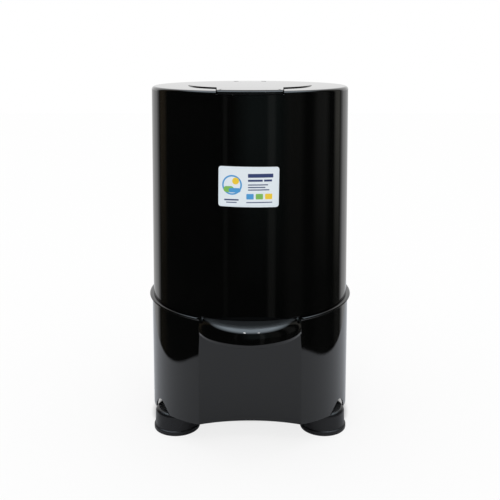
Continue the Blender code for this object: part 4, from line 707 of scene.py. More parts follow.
def base_columns():
    """Azimuths in radians of the columns round the back, crowded on each notch's outline, and a
    mark on the column where a notch starts (1) or ends (-1)."""
    crease = float(crease_azimuth(BASE_BOTTOM_RADIUS, HOLLOW_RADIUS))
    margin = CREASE_ROUND / BASE_BOTTOM_RADIUS
    last = crease + margin
    end = 2 * math.pi - last
    columns, marks = [], []
    for azimuth in np.radians(NOTCH_AZIMUTHS):
        near, far = azimuth + notch_side(azimuth, -1), azimuth + notch_side(azimuth, 1)[::-1]
        flat = np.linspace(last, near[0] - margin, max(int((near[0] - last) * COLUMNS_PER_RADIAN), 3))
        columns += [flat, near, far[1:]]
        marks += [np.zeros(len(flat)), np.eye(len(near))[0], -np.eye(len(far) - 1)[-1]]
        last = far[-1] + margin
    flat = np.linspace(last, end, max(int((end - last) * COLUMNS_PER_RADIAN), 3))
    return np.concatenate(columns + [flat]), np.concatenate(marks + [np.zeros(len(flat))]), crease


back_azimuths, notch_marks, bottom_crease = base_columns()
hollow_share = np.linspace(-1, 1, HOLLOW_STEPS)[1:-1]
crease_share = np.linspace(0, 1, CREASE_STEPS)
column_count = len(back_azimuths) + len(hollow_share) + 2 * CREASE_STEPS
print("base columns:", len(back_azimuths), "round the back and", len(hollow_share), "across the hollow")


def base_ring(radius, inset, shift):
    """A ring of points of the base's plan. radius and shift are arrays over the columns, inset moves
    the hollow's face in, and shift moves a column sideways along the wall. Round the back a point is
    (r sin a, -r cos a). Each corner beside the hollow is an arc, placed as in soften, and the
    hollow's face is an arc about its own centre."""
    hollow = HOLLOW_RADIUS + inset
    count = len(back_azimuths)
    crease = crease_azimuth(radius, hollow)
    open_angle = (math.pi - crease) / (math.pi - bottom_crease)
    azimuth = math.pi + (back_azimuths - math.pi) * open_angle[:count] + shift[:count] / radius[:count]
    back = np.stack([radius[:count] * np.sin(azimuth), -radius[:count] * np.cos(azimuth)], axis=1)
    sides = slice(count, count + CREASE_STEPS)
    side_radius, side_crease = radius[sides], crease[sides]
    corner = np.stack([side_radius * np.sin(side_crease), -side_radius * np.cos(side_crease)], axis=1)
    turn = np.arcsin(corner[:, 0] / hollow)
    to_back = np.stack([np.cos(side_crease), np.sin(side_crease)], axis=1)
    to_hollow = np.stack([-np.cos(turn), np.sin(turn)], axis=1)
    half = np.arccos((to_back * to_hollow).sum(axis=1)) / 2
    middle = to_back + to_hollow
    middle = middle / np.linalg.norm(middle, axis=1, keepdims=True)
    centre = corner + middle * (CREASE_ROUND / np.sin(half))[:, None]
    start = corner + to_back * (CREASE_ROUND / np.tan(half))[:, None] - centre
    end = corner + to_hollow * (CREASE_ROUND / np.tan(half))[:, None] - centre
    sweep = math.pi - 2 * half
    first = (np.sin((1 - crease_share) * sweep) / np.sin(sweep))[:, None]
    second = (np.sin(crease_share * sweep) / np.sin(sweep))[:, None]
    rounded = centre + first * start + second * end
    reach = turn[0] - CREASE_ROUND / hollow
    angle = hollow_share * reach
    front = np.stack([hollow * np.sin(angle), -HOLLOW_CENTRE + hollow * np.cos(angle)], axis=1)
    left = rounded * (-1, 1)
    return np.concatenate([back, left, front, rounded[::-1]])


def edge_curve():
    """The lower edge's height in each column, and its normal in the wall as (sideways, up). The
    height is the greatest of a lowest level, a slope that rises to the front, and an arc over each
    foot. The normal is the edge's direction (run, rise), turned a quarter to the left."""
    plan = base_ring(np.full(column_count, BASE_BOTTOM_RADIUS), 0.0, np.zeros(column_count))
    height = np.maximum(BASE_LOW, ARCH_LEVEL - ARCH_SLOPE * plan[:, 1])
    azimuth = np.arctan2(plan[:, 0], -plan[:, 1])
    for notch in np.radians(NOTCH_AZIMUTHS):
        offset = (azimuth - notch + math.pi) % (2 * math.pi) - math.pi
        across = np.abs(BASE_BOTTOM_RADIUS * np.sin(offset)) + NOTCH_SIDE
        inside = (across < NOTCH_ARC + 1e-3) & (np.abs(offset) < NOTCH_REACH)
        arch = BASE_LOW + np.sqrt(np.maximum(NOTCH_ARC ** 2 - across ** 2, 0))
        height = np.where(inside, np.maximum(height, arch), height)
    run = np.linalg.norm(np.roll(plan, -1, axis=0) - np.roll(plan, 1, axis=0), axis=1)
    rise = np.roll(height, -1) - np.roll(height, 1)
    length = np.hypot(run, rise)
    side, up = -rise / length, run / length
    marks = np.pad(notch_marks, (0, column_count - len(notch_marks)))
    for mark in (1, -1):
        side = np.where(marks == mark, np.roll(side, -mark), side)
        up = np.where(marks == mark, np.roll(up, -mark), up)
    return height, side, up


edge_height, edge_side, edge_up = edge_curve()
print("lower edge runs from", edge_height.min(), "to", round(edge_height.max(), 1), "mm")

# %% [markdown]
# The skirt's rows now follow one another: round the lower edge, up the wall, over the lip, in along
# the rim under the casing, and down again inside. A row of the wall says how far it is moved along
# the edge's normal, how far in from the outer face it lies, and how much of the way up it is. The
# rows of the lip and the rim are level.

# %% Build the base from rows and bore its two holes
BASE_WALL_TOP = 215.2
EDGE_CORNER = 0.4
FRONT = 0
REAR = 180
SPOUT_LEVEL = 198
SPOUT_HOLE = 13
GLAND_LEVEL = 96
GLAND_HOLE = 7.3
LIP_PROFILE = [
    (169.78, 218.6), (169.85, 220.2), (170.3, 221.2), (171.6, 221.6), (173.5, 221.7), (174.0, 221.9),
    (LIP_RADIUS, 222.3), (174.0, 223.0), (173.6, 223.7), (172.9, 224.3), (172.0, 224.7),
    (170.9, 224.9), (169.6, BASE_TOP)]
RIM_PROFILE = [
    (168.9, 0.8, BASE_TOP), (160.6, 9.1, BASE_TOP), (160.2, 9.5, 224.6), (160.2, 9.5, 222.4),
    (167.1, WALL, 222.4), (167.1, WALL, 221.8)]


def base_row(along, inset, share=0.0):
    """One row: it starts along mm from the lower edge, climbs by share towards the wall's top, and
    lies inset mm inside the outer face."""
    low = edge_height + edge_up * along
    height = low + (BASE_WALL_TOP - low) * share
    wider = BASE_TOP_RADIUS - BASE_BOTTOM_RADIUS
    radius = BASE_BOTTOM_RADIUS + wider * (height - BASE_LOW) / (BASE_TOP - BASE_LOW)
    return at_level(base_ring(radius - inset, inset, edge_side * along * (1 - share)), height)


def base_ledge(radius, inset, level):
    """A level row at one radius."""
    plan = base_ring(np.full(column_count, float(radius)), inset, np.zeros(column_count))
    return at_level(plan, level)


rows = [base_row(EDGE_ROUND * (1 - math.cos(a)), EDGE_ROUND * (1 - math.sin(a))) for a in rounding]
rows += [base_row(EDGE_ROUND + HOLD, 0, share) for share in (0, 0.04, 0.3, 0.65, 1)]
rows += [base_ledge(radius, 0, level) for radius, level in LIP_PROFILE]
rows += [base_ledge(*step) for step in RIM_PROFILE]
rows += [base_row(EDGE_ROUND, WALL, share) for share in (0.9, 0.1)]
rows += [base_row(EDGE_CORNER, WALL), base_row(0, WALL - EDGE_CORNER)]
base = skin("base", [np.stack(rows)])


def radial_rod(name, radius, start, end, azimuth, height):
    """A closed rod that points out from the axis at an azimuth from the front."""
    angle = np.linspace(0, 2 * np.pi, 40, endpoint=False)
    out = np.array([math.sin(math.radians(azimuth)), -math.cos(math.radians(azimuth)), 0])
    side = np.array([-out[1], out[0], 0])
    ring = radius * (np.cos(angle)[:, None] * side + np.sin(angle)[:, None] * np.array([0, 0, 1]))
    grid = np.stack([ring + out * reach + (0, 0, height) for reach in (start, end)], axis=1)
    return skin(name, [grid], wrap_columns=False, caps=True)


cut_away(base, [radial_rod("spout_cutter", SPOUT_HOLE, 80, 220, FRONT, SPOUT_LEVEL),
                radial_rod("gland_cutter", GLAND_HOLE, 140, 220, REAR, GLAND_LEVEL)])
place(base, "housing", GLOSS_BLACK, "gloss_black", "base_shell")

# %% [markdown]
# ## The hood over the spout
#
# A shelf stands out over the hollow front and ends in a rounded lip, which keeps drips off the
# machine. It is a slice of a disc: each column runs along a radius of that disc, from the hollow's
# face out over the shelf, round the fillet, down the lip and back underneath. The fillet grows
# smaller towards the two ends, where the shelf runs out to nothing. Wet washing is lifted over the
# shelf again and again, so its level part is a little scuffed, while the rounded front stays glossy.

# %% Build the hood
HOOD_RADIUS = 90.4
HOOD_CENTRE = 112.6
HOOD_END = 64.5
HOOD_FILLET = 17.0
FILLET_SHARE = 0.55
HOOD_LOW = 194.0
HOOD_RISE = 5.0
HOOD_BACK = HOLLOW_RADIUS - 0.3
HOOD_STEPS = 121
SCUFF_STARTS = (0.78, 0.93)
SCUFF_DULL = 0.56
LIP_SHARE = 0.5
LIP_STEPS = [(0, 0.06), (0, 0.5), (0, 0.93), (0.15, 0.97), (0.7, 1), (1.9, 1), (WALL, 0.96), (WALL, 0.4)]

hood_angle = np.radians(np.linspace(-HOOD_END, HOOD_END, HOOD_STEPS))
hood_out = np.stack([np.sin(hood_angle), -np.cos(hood_angle)], axis=1)
hood_front = hood_out * HOOD_RADIUS - (0, HOOD_CENTRE)
from_centre = hood_front + (0, HOLLOW_CENTRE)
towards = -(from_centre * hood_out).sum(axis=1)
hood_room = -towards + np.sqrt(towards ** 2 - (from_centre ** 2).sum(axis=1) + HOOD_BACK ** 2)
fillet = np.minimum(HOOD_FILLET, hood_room * FILLET_SHARE)
lip_low = BASE_TOP - fillet
hood_low = HOOD_LOW + HOOD_RISE * (hood_angle / hood_angle[-1]) ** 2
print("hood depth at its middle", round(hood_room.max(), 1), "and at its end", round(hood_room[0], 2), "mm")


def hood_row(back, level):
    """Points back mm inside the disc's edge, but never past the hollow's face, at a level."""
    return at_level(hood_front - hood_out * np.minimum(back, hood_room)[:, None], level)


def hood_fillet(turn, sunk):
    """The rounded front: it goes back by fillet (1 - sin t) and down by (fillet - sunk) (1 - cos t)."""
    return hood_row(fillet * (1 - math.sin(turn)), BASE_TOP - sunk - (fillet - sunk) * (1 - math.cos(turn)))


def satin_where_flat(finish, dull):
    """A copy of a finish whose roughness rises to dull as a surface turns from steep to level: the
    greater of its own roughness and dull times how level the surface is."""
    material = finish.copy()
    material.name = f"{finish.name}_scuffed"
    tree = material.node_tree
    shader = tree.nodes["Principled BSDF"]
    polished = shader.inputs["Roughness"].links[0].from_socket
    facing = split_node(tree, tree.nodes.new("ShaderNodeNewGeometry").outputs["Normal"])
    level = range_node(tree, facing["Z"], *SCUFF_STARTS, 0.0, 1.0)
    rough = math_node(tree, "MAXIMUM", math_node(tree, "MULTIPLY", level, dull), polished)
    feed_all(tree, shader, Roughness=rough)
    return material


hood_rows = [hood_row(fillet + (hood_room - fillet) * share, BASE_TOP) for share in (1, 0.66, 0.33, 0.04)]
hood_rows += [hood_fillet(turn, 0) for turn in np.radians(np.linspace(0, 90, 15))]
for back, share in LIP_STEPS:
    level = lip_low + (hood_low - lip_low) * share
    hood_rows.append(hood_row(np.minimum(back, hood_room * LIP_SHARE), level))
hood_rows += [hood_fillet(turn, WALL) for turn in np.radians([60, 35, 10])]
hood_rows.append(hood_row(hood_room, BASE_TOP - WALL))
hood = skin("hood", [np.stack(hood_rows)], wrap_columns=False, caps=True)
place(hood, "housing", satin_where_flat(GLOSS_BLACK, SCUFF_DULL), "gloss_black", "spout_hood")

# %% [markdown]
# ## Feet
#
# Three moulded rubber feet hold the machine still while the drum runs up. Each has a flat beaded rim
# that grips the floor like a sucker, a steep body and a neck that holds its bolt. They are turned
# from one profile, three times over.

# %% Turn the three feet
FOOT_PLACES = {"front_right": (125.14, -72.25), "rear": (0.0, 144.5), "front_left": (-125.14, -72.25)}
foot_profile = soften([
    (0, 4.0, 0), (14.5, 4.0, 2), (29, 0, 1.0), (39, 0, 2.2), (39, 7.6, 3.0), (36.9, 8.4, 1.2),
    (35.7, 37.5, 6.5), (20, 38.6, 5), (13, 39.5, 2.2), (13, 57.7, 0.6), (4.4, 57.7, 0.3),
    (4.4, 20, 0.2), (0, 20, 0)], 4)
for side, centre in FOOT_PLACES.items():
    foot = skin("foot_" + side + "_rubber", [turned(foot_profile, 72, centre)])
    place(foot, "housing", BLACK_RUBBER, "rubber", "foot_" + side)

# %% [markdown]
# ## The label
#
# A printed film sits on the casing's front. Its outline is a rounded rectangle, drawn in to its
# centre in rings like the lid, and then wrapped on the casing's cone. Its UV map holds the flat
# sheet, so the printing is worked out in the sheet's own millimetres.

# %% Wrap the label round the casing
LABEL_WIDTH = 92.0
LABEL_HEIGHT = 61.0
LABEL_MIDDLE = 435.0
LABEL_SHIFT = -2.0
LABEL_THICK = 0.5
LABEL_CLEAR = 0.03
LABEL_CORNER = 4
LABEL_SPACING = 1.5
LABEL_TURN = math.radians(0.8)
LABEL_RINGS = [(0, 1), (0.35, 1), (0.7, 1), (0.97, 1), (0.996, 1),
               (1, 0.7), (1, 0.05), (0.99, 0), (0.6, 0), (0, 0)]

half_wide, half_high = LABEL_WIDTH / 2, LABEL_HEIGHT / 2
label_corners = [(-half_wide, -half_high), (half_wide, -half_high),
                 (half_wide, half_high), (-half_wide, half_high)]
label_edge = resample(soften([(*corner, LABEL_CORNER) for corner in label_corners]), LABEL_SPACING)


def wrap_label(flat, lift):
    """A flat point (u, v) goes to the cone: azimuth u / R, height v, and off the casing by lift, as
    a share of the film's thickness."""
    u = flat[:, 0] * math.cos(LABEL_TURN) + flat[:, 1] * math.sin(LABEL_TURN) + LABEL_SHIFT
    v = -flat[:, 0] * math.sin(LABEL_TURN) + flat[:, 1] * math.cos(LABEL_TURN) + LABEL_MIDDLE
    radius = casing_radius(v) + LABEL_CLEAR + (LABEL_THICK - LABEL_CLEAR) * lift
    return np.stack([radius * np.sin(u / radius), -radius * np.cos(u / radius), v], axis=1)


label_grid = np.stack([wrap_label(label_edge * share, lift) for share, lift in LABEL_RINGS])
label = skin("label", [label_grid], wrap_rows=False)
spots = np.array([v.co for v in label.data.vertices]) / MM
azimuth = np.arctan2(spots[:, 0], DRUM_AXIS[1] / MM - spots[:, 1])
flat_u = azimuth * casing_radius(spots[:, 2]) - LABEL_SHIFT
flat_v = spots[:, 2] - LABEL_MIDDLE
label_uv = np.stack([flat_u / LABEL_WIDTH + 0.5, flat_v / LABEL_HEIGHT + 0.5], axis=1)
corner_points = np.zeros(len(label.data.loops), int)
label.data.loops.foreach_get("vertex_index", corner_points)
uv_layer = label.data.uv_layers.new(name="sheet")
uv_layer.data.foreach_set("uv", label_uv[corner_points].ravel())
print("label sheet:", LABEL_WIDTH, "by", LABEL_HEIGHT, "mm,", len(label.data.vertices), "points")

# %% [markdown]
# The printing is generic: a sun, hills and two rows of plain bars, made of circles and rounded
# boxes. Each shape is a mask from the stamp group, which measures how far a point of the sheet lies
# from a rounded box. A circle is such a box whose corners take up its whole size. A row of the table
# gives a shape's middle, half its width and height, the radius of its corners and its ink, and a
# later shape lies over an earlier one.

# %% Print the label with shapes
SHEET = (0.70, 0.765, 0.81)
NAVY = (0.03, 0.05, 0.16)
SKY = (0.06, 0.30, 0.62)
LEAF = (0.20, 0.47, 0.09)
SUN = (0.80, 0.55, 0.03)
PALE = (0.55, 0.66, 0.76)
LABEL_SHAPES = [
    (0, 0, 44.2, 28.7, 3.2, PALE), (0, 0, 43.8, 28.3, 3.0, SHEET),
    (-25, 3, 15, 15, 15, SKY), (-25, 3, 12.6, 12.6, 12.6, SHEET), (-19.5, 9, 5.2, 5.2, 5.2, SUN),
    (-30, -3.5, 8, 4.6, 4.6, LEAF), (-21, -5.0, 9, 3.4, 3.4, SKY),
    (18, 17, 19, 2.9, 0.8, NAVY), (10, 9.6, 11, 1.5, 0.5, NAVY), (29, 9.6, 6, 1.5, 0.5, NAVY),
    (14, 3.2, 15, 0.8, 0.4, NAVY), (12, -0.6, 13, 0.8, 0.4, NAVY), (15, -4.4, 16, 0.8, 0.4, NAVY),
    (2, -14.5, 5.5, 4.2, 1.2, SKY), (16, -14.5, 5.5, 4.2, 1.2, LEAF), (30, -14.5, 5.5, 4.2, 1.2, SUN),
    (16, -23.4, 19.5, 0.7, 0.3, NAVY), (-26, -19.5, 11, 1.1, 0.5, NAVY), (-26, -23.4, 8, 0.7, 0.3, NAVY)]


def stamped(tree, u, v, **box):
    """The mask of one rounded box over the places u and v, from the stamp group."""
    node = tree.nodes.new("ShaderNodeGroup")
    node.node_tree = STAMP
    feed_all(tree, node, U=u, V=v, **box)
    return node.outputs[0]


def label_material():
    """The film's material: shape after shape is laid over the sheet's colour."""
    material = grained("label_film", 1500.0, 0.03, 0.3, 0.4, SHEET, SHEET, IOR=1.5)
    tree = material.node_tree
    shader = tree.nodes["Principled BSDF"]
    uv = tree.nodes.new("ShaderNodeUVMap")
    uv.uv_map = "sheet"
    parts = split_node(tree, uv.outputs[0])
    u = range_node(tree, parts["X"], 0, 1, -half_wide, half_wide)
    v = range_node(tree, parts["Y"], 0, 1, -half_high, half_high)
    colour = shader.inputs["Base Color"].links[0].from_socket
    for across, up, wide, high, corner, ink in LABEL_SHAPES:
        mask = stamped(tree, u, v, Across=across, Up=up, Half_wide=wide, Half_high=high, Round=corner)
        colour = mix_node(tree, mask, colour, (*ink, 1))
    feed_all(tree, shader, Base_Color=colour)
    return material


LABEL_FILM = label_material()
place(label, "housing", LABEL_FILM, "label", "label_plate")

# %% [markdown]
# ## What shows through the open lid
#
# With the lid up, the drum's mouth, its perforated wall and the nut at its bottom are in plain view,
# framed by the tub's cover and the rubber lid seal. The drum's wall is a sheet with rows of holes.
# One cell of it, an upright rectangle with a round hole, is made once and repeated by adding angles
# and heights to whole arrays.

# %% Build the perforated drum
DRUM_RADIUS = 118.0
DRUM_LOW = 250.0
DRUM_TOP = 506.0
DRUM_WALL = 1.5
MOUTH_RADIUS = 99.0
HUB_BORE = 8.3
HOLES_ROUND = 36
HOLE_ROWS = 9
HOLE_RADIUS = 3.0
HOLE_SIDES = 16
PERFORATED_LOW = 262.0
PERFORATED_TOP = 486.0

cell_wide = 2 * math.pi * DRUM_RADIUS / HOLES_ROUND
cell_high = (PERFORATED_TOP - PERFORATED_LOW) / HOLE_ROWS
turns = np.linspace(0, 2 * np.pi, HOLE_SIDES, endpoint=False)
circle = np.stack([np.cos(turns), np.sin(turns)], axis=1)
cell_edge = circle / np.abs(circle).max(axis=1, keepdims=True) * (cell_wide / 2, cell_high / 2)


def drum_cells():
    """All cells at once, as (cell, ring, corner, 3): the cell's edge and the hole's edge on the outer
    face, then the hole's and the cell's on the inner one. A flat point (s, z) goes to the angle
    a = s / R and the place (r sin a, -r cos a, z)."""
    column, row = np.meshgrid(np.arange(HOLES_ROUND), np.arange(HOLE_ROWS), indexing="ij")
    middle = np.stack([column.ravel() * cell_wide, PERFORATED_LOW + (row.ravel() + 0.5) * cell_high], axis=1)
    flat = np.stack([cell_edge, circle * HOLE_RADIUS, circle * HOLE_RADIUS, cell_edge])
    depth = np.array([0, 0, DRUM_WALL, DRUM_WALL])[:, None]
    flat = middle[:, None, None, :] + flat[None]
    radius = DRUM_RADIUS - depth[None]
    angle = flat[..., 0] / DRUM_RADIUS
    return np.stack([radius * np.sin(angle), -radius * np.cos(angle), flat[..., 1]], axis=-1)


edge_share = np.array([-0.5, -0.5 * math.tan(math.pi / 8), 0, 0.5 * math.tan(math.pi / 8)])
edge_angles = (np.arange(HOLES_ROUND)[:, None] + edge_share).ravel() * cell_wide / DRUM_RADIUS - math.pi / 2
inner = DRUM_RADIUS - DRUM_WALL
drum_ends = [
    soften([(DRUM_RADIUS, PERFORATED_LOW, 0), (DRUM_RADIUS, DRUM_LOW, 3), (HUB_BORE, DRUM_LOW, 0.4),
            (HUB_BORE, DRUM_LOW + DRUM_WALL, 0.4), (inner, DRUM_LOW + DRUM_WALL, 2),
            (inner, PERFORATED_LOW, 0)], 5, False),
    soften([(DRUM_RADIUS, PERFORATED_TOP, 0), (DRUM_RADIUS, DRUM_TOP, 4), (MOUTH_RADIUS, DRUM_TOP, 0.6),
            (MOUTH_RADIUS, DRUM_TOP - DRUM_WALL, 0.6), (inner, DRUM_TOP - DRUM_WALL, 3),
            (inner, PERFORATED_TOP, 0)], 5, False)]
drum_grids = list(drum_cells()) + [turned(profile, edge_angles) for profile in drum_ends]
drum = skin("drum", drum_grids, wrap_rows=False)
place(drum, "rotor", STAINLESS, "stainless", "spin_drum")

# %% [markdown]
# The rings and discs round the drum are turned pieces again. A row of the table gives a piece's name,
# its body, finish, slot and node, how many steps it is turned in, and its profile.

# %% Turn the tub's cover, the seals, the clamp and the nut
inner_pieces = [
    ("tub_lid_ring", "housing", GREY_PLASTIC, "grey_plastic", "tub_cover", 180, [
        (137.3, 536, 0.4), (137.3, 550.5, 2), (99, 550.5, 1.5), (99, 563.2, 0.8), (96.5, 563.2, 0.8),
        (96.5, 548, 1), (134.8, 548, 0.8), (134.8, 536, 0.4)]),
    ("lid_lining", "lid", GREY_PLASTIC, "grey_plastic", "lid_liner", 180, [
        (0, 567.8, 0), (93.5, 567.8, 3), (93.5, 575.1, 0.6), (91.5, 575.1, 0.6), (91.5, 569.8, 2),
        (0, 569.8, 0)]),
    ("lid_seal", "lid", BLACK_RUBBER, "rubber", "lid_gasket", 180, [
        (96.1, 567.2, 0.7), (98.4, 566.4, 1.2), (100.7, 567.2, 0.7), (100.7, 571.7, 0.8),
        (96.1, 571.7, 0.8)]),
    ("balance_weight", "rotor", GREY_PLASTIC, "grey_plastic", "balance_ring", 144, [
        (101.2, 491.2, 2), (113.2, 491.2, 2), (113.2, 504.2, 2), (101.2, 504.2, 2)]),
    ("clamp", "rotor", STAINLESS, "stainless", "clamp_plate", 96, [
        (HUB_BORE, 251.8, 0.3), (42, 251.8, 1), (42, 256.5, 3), (19, 261.8, 3), (HUB_BORE, 261.8, 0.4)]),
    ("drum_nut", "rotor", GREY_PLASTIC, "grey_plastic", "hub_nut", 64, [
        (6.3, 262.1, 0.3), (14, 262.1, 1), (14, 270, 3), (7, 282.1, 3), (0, 282.1, 0), (0, 272.1, 0),
        (6.3, 272.1, 0.3)])]
for name, body, material, slot, node, steps, profile in inner_pieces:
    piece = skin(name, [turned(soften(profile), steps)])
    place(piece, body, material, slot, node)

# %% [markdown]
# The drain spout is a tube. Circles are carried along its route, each square to the route's
# direction there, first outside and then back inside, which closes its wall.

# %% Carry circles along the drain spout
SPOUT_DROP = 105.0
SPOUT_BEND = 22.0
SPOUT_END = 165.0
SPOUT_RADIUS = 11.0
SPOUT_BORE = 8.5
SPOUT_CHAMFER = 0.6

bend = arc_points(SPOUT_BEND, 0, -90, 15, (-SPOUT_DROP - SPOUT_BEND, SPOUT_LEVEL + SPOUT_BEND))
spout_line = np.concatenate([[(-SPOUT_DROP, 229.7), (-SPOUT_DROP, 226)], bend,
                             [(-150, SPOUT_LEVEL), (-164, SPOUT_LEVEL), (-SPOUT_END, SPOUT_LEVEL)]])


def tube_rows(line, radii, sides=40):
    """Circles square to a line of (y, z) points: x = r cos a, and r sin a along the line's normal."""
    ahead = np.gradient(line, axis=0)
    ahead = ahead / np.linalg.norm(ahead, axis=1, keepdims=True)
    normal = np.stack([-ahead[:, 1], ahead[:, 0]], axis=1)
    angle = np.linspace(0, 2 * np.pi, sides, endpoint=False)
    radii = np.asarray(radii, float)[:, None]
    x = radii * np.cos(angle)
    yz = line[:, None, :] + normal[:, None, :] * (radii * np.sin(angle))[..., None]
    return np.concatenate([x[..., None], yz], axis=-1)


straight = len(spout_line) - 1
outside = tube_rows(spout_line, [SPOUT_RADIUS] * straight + [SPOUT_RADIUS - SPOUT_CHAMFER])
inside = tube_rows(spout_line, [SPOUT_BORE] * straight + [SPOUT_BORE + SPOUT_CHAMFER])[::-1]
spout = skin("spout", [np.concatenate([outside, inside])])
place(spout, "housing", GREY_PLASTIC, "grey_plastic", "drain_spout")

# %% [markdown]
# ## The working parts inside
#
# The motor, brake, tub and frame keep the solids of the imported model, because their shapes are
# right and they are seen only when the machine is apart. Each gets the finish it has on a bench:
# zinc on pressed steel, grain on castings, lines on turned parts, laminations on the core.

# %% Give every other node its finish


def at_each_foot(stem):
    """The names of three alike nodes, one for each foot."""
    return [f"{stem}_{side}" for side in FOOT_PLACES]


FINISHES = {
    ZINC_STEEL: ["base_frame", "motor_can", "motor_cradle", "brake_lever", "brake_post", "brake_drum",
                 "lid_hook", "lock_bolt"] + at_each_foot("foot_bolt") + at_each_foot("tub_post"),
    STAINLESS: ["hinge_pin", "drive_shaft", "upper_bearing", "lower_bearing"],
    ALUMINIUM: ["upper_bell", "lower_bell", "drum_hub", "rotor_core", "capacitor"],
    CORE_STEEL: ["stator_core"],
    COPPER: ["upper_winding", "lower_winding"],
    GREY_PLASTIC: ["inner_tub", "latch_tray", "switch_body", "lock_actuator", "capacitor_cup"],
    WHITE_PLASTIC: ["switch_plunger", "cooling_fan"],
    SATIN_BLACK: ["hinge_block"],
    LINING: ["brake_pad"],
    BLACK_RUBBER: at_each_foot("suspension_mount") + ["shaft_seal", "brake_cable", "cord_gland"]}
finish_of = {name: material for material, names in FINISHES.items() for name in names}
for name, material in finish_of.items():
    slots = frame["nodes"][name].data.materials
    slots.clear()
    slots.append(material)
left_over = [name for name, node in frame["nodes"].items() if not node.hide_render and name not in finish_of]
print("nodes with a new finish:", len(finish_of), "left over:", left_over)

# %% [markdown]
# ## Floor, studio and light
#
# Black gloss shows what stands round it. In a studio that is a white sweep behind and under the
# object and a dark room in front of it: the white gives the bright edges and the pale deck, the dark
# gives the deep black front. The floor is a pale sheet. The world is white for the camera and
# plain for soft light. For reflections it holds that white sweep and the dim room, in which a few
# faint strips and a bright patch overhead give the gloss something to show.

# %% Lay the floor
FLOOR_HALF = 6
FLOOR_GLOW = 0.8
FLOOR_PALE = (0.96, 0.96, 0.96, 1)
# FLOOR_SHADE and the two SHADE boxes paint the machine's shadow on the floor under it.
FLOOR_SHADE = (0.06, 0.06, 0.06, 1)
FLOOR_MIRRORED = (0.72, 0.745, 0.79, 1)
TENTHS = 10.0
SHEET_NEAR = {"Across": 0.2, "Up": 1.5, "Half wide": 4.7, "Half high": 7.5, "Round": 4.0}
SHADE_UNDER = {"Across": 0.0, "Up": 0.1, "Half wide": 1.7, "Half high": 1.7, "Round": 1.7}
SHADE_FRONT = (-0.05, -0.03)
floor_mesh = bpy.data.meshes.new("floor")
floor_corners = [(FLOOR_HALF * x, FLOOR_HALF * y, 0) for x, y in ((-1, -1), (1, -1), (1, 1), (-1, 1))]
floor_mesh.from_pydata(floor_corners, [], [(0, 1, 2, 3)])
floor = bpy.data.objects.new("floor", floor_mesh)
bpy.context.scene.collection.objects.link(floor)
floor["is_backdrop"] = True


def floor_material():
    """Pale for the eye and for soft light, with a painted shadow right under the machine: there the
    floor's colour is dark and its glow is cut. In reflections only the lit sheet round it is there:
    beyond that the floor is clear, so that the studio's walls show through. The boxes are measured in
    tenths of a metre."""
    material = bpy.data.materials.new("floor")
    material.use_nodes = True
    tree = material.node_tree
    shader = tree.nodes["Principled BSDF"]
    rays = tree.nodes.new("ShaderNodeLightPath").outputs
    parts = split_node(tree, object_place(tree))
    u, v = [math_node(tree, "MULTIPLY", parts[axis], TENTHS) for axis in ("X", "Y")]
    # Painted shadow: under the machine, behind its front, the floor's colour turns dark and its glow goes
    # out.
    behind = range_node(tree, parts["Y"], *SHADE_FRONT, 0, 1)
    under = math_node(tree, "MULTIPLY", stamped(tree, u, v, **SHADE_UNDER), behind)
    seen = mix_node(tree, under, FLOOR_PALE, FLOOR_SHADE)
    colour = mix_node(tree, rays["Is Glossy Ray"], seen, FLOOR_MIRRORED)
    feed_all(tree, shader, Base_Color=colour, Roughness=0.9, Specular_IOR_Level=0.0)
    bright = math_node(tree, "MULTIPLY", math_node(tree, "SUBTRACT", 1.0, under), FLOOR_GLOW)
    glow = math_node(tree, "MULTIPLY", rays["Is Camera Ray"], bright)
    beyond = math_node(tree, "SUBTRACT", 1.0, stamped(tree, u, v, **SHEET_NEAR))
    clear = math_node(tree, "MULTIPLY", beyond, rays["Is Glossy Ray"])
    surface = shader.outputs[0]
    for share, kind in ((glow, "ShaderNodeEmission"), (clear, "ShaderNodeBsdfTransparent")):
        both = tree.nodes.new("ShaderNodeMixShader")
        for socket, value in zip(both.inputs, (share, surface, tree.nodes.new(kind).outputs[0])):
            feed(tree, socket, value)
        surface = both.outputs[0]
    feed_all(tree, tree.nodes["Material Output"], Surface=surface)
    return material


floor_mesh.materials.append(floor_material())
print("floor laid,", 2 * FLOOR_HALF, "m across")

# %% [markdown]
# The world is read by direction. Each strip is given by the azimuth of its middle and its half
# width, both in degrees from the rear, by how much of it is left below the horizon, and by its tint,
# which is added to the room's. Two small lamps give the shadow and the fine highlights.

# %% Light the studio
SWEEP_HALF = math.radians(47)
SWEEP_SOFT = 0.09
SWEEP_LOW = 0.68
ROOM_DIM = (0.012, 0.013, 0.012, 1)
WHITE = (1, 1, 1, 1)
STRIPS = [(-152.1, 3.4, 0.4, (0.06, 0.062, 0.06)), (155.7, 6.0, 0.7, (0.11, 0.11, 0.105)),
          (128, 15, 0.4, (0.065, 0.065, 0.06)), (90, 15, 0.1, (0.10, 0.10, 0.095)),
          (59, 9, 0.12, (0.24, 0.235, 0.21)), (-60, 10, 0.25, (0.085, 0.065, 0.04)),
          (166, 34, 0.0, (0.065, 0.09, 0.09))]
STRIP_CORE = 0.4
STRIP_FOOT = (-0.28, -0.08)
SWEEP_FOOT = (-0.04, 0.0)
CEILING_EDGE = (0.66, 0.90)
OVERHEAD = (3.6, 4.2, 4.7)
LAMP_SIZE = 0.09
LAMP_AWAY = 1.2
LAMP_HEIGHT = 1.6
LAMPS = {"key": (-0.27, 1.6), "second": (0.44, 0.7)}

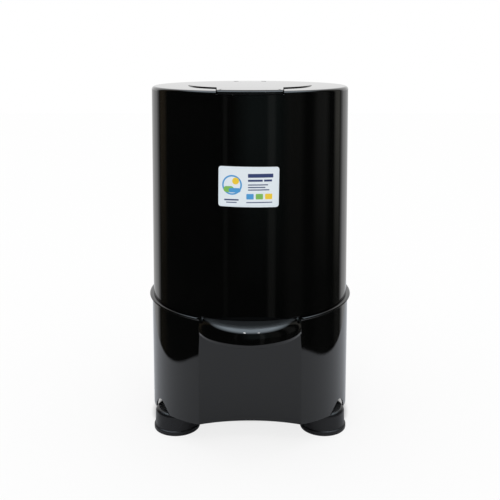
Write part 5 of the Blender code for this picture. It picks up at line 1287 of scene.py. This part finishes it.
world = bpy.data.worlds.new("studio")
world.use_nodes = True
bpy.context.scene.world = world
tree = world.node_tree
parts = split_node(tree, tree.nodes.new("ShaderNodeTexCoord").outputs["Generated"])
azimuth = math_node(tree, "ARCTAN2", parts["X"], parts["Y"])
colour = ROOM_DIM
for middle, half, low, tint in STRIPS:
    turn = math_node(tree, "SUBTRACT", azimuth, math.radians(middle))
    turn = math_node(tree, "PINGPONG", turn, math.pi)
    strip = range_node(tree, turn, math.radians(half * STRIP_CORE), math.radians(half), 1.0, 0.0)
    fade = range_node(tree, parts["Z"], *STRIP_FOOT, low, 1.0)
    colour = mix_node(tree, math_node(tree, "MULTIPLY", strip, fade), colour, (*tint, 1), "ADD")
ceiling = range_node(tree, parts["Z"], *CEILING_EDGE, 0.0, 1.0)
colour = mix_node(tree, ceiling, colour, (*OVERHEAD, 1), "ADD")
sweep = range_node(tree, math_node(tree, "ABSOLUTE", azimuth),
                   SWEEP_HALF - SWEEP_SOFT, SWEEP_HALF + SWEEP_SOFT, 1, 0)
sweep = math_node(tree, "MULTIPLY", sweep, range_node(tree, parts["Z"], *SWEEP_FOOT, SWEEP_LOW, 1.0))
rays = tree.nodes.new("ShaderNodeLightPath").outputs
mirrored = math_node(tree, "MAXIMUM", rays["Is Glossy Ray"], rays["Is Transmission Ray"])
white = math_node(tree, "MAXIMUM", sweep, math_node(tree, "SUBTRACT", 1.0, mirrored))
feed_all(tree, tree.nodes["Background"], Color=mix_node(tree, white, colour, WHITE), Strength=1.0)

for name, (aside, energy) in LAMPS.items():
    lamp_data = bpy.data.lights.new(name, "AREA")
    lamp_data.shape = "DISK"
    lamp_data.size = LAMP_SIZE
    lamp_data.energy = energy
    lamp = bpy.data.objects.new(name, lamp_data)
    lamp.location = (aside, -LAMP_AWAY, LAMP_HEIGHT)
    lamp.rotation_euler = (math.radians(45), 0, math.atan2(aside, LAMP_AWAY))
    bpy.context.scene.collection.objects.link(lamp)
bpy.context.scene.view_settings.view_transform = "Standard"
print("studio lit, white sweep of", round(math.degrees(2 * SWEEP_HALF)), "degrees behind")

# %% [markdown]
# ## Compare the sizes and finish
#
# The dressed machine may hardly be larger than the imported model. Here only the thin lip round the
# base's top stands a little further out, which makes the whole 1.5 percent wider. Both boxes are
# written down.

# %% Write both boxes and finish
visual_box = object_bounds()
for corner, dressed_corner in zip(cad_box, visual_box):
    print("packed", [round(v * 1000, 1) for v in corner], "dressed",
          [round(v * 1000, 1) for v in dressed_corner])
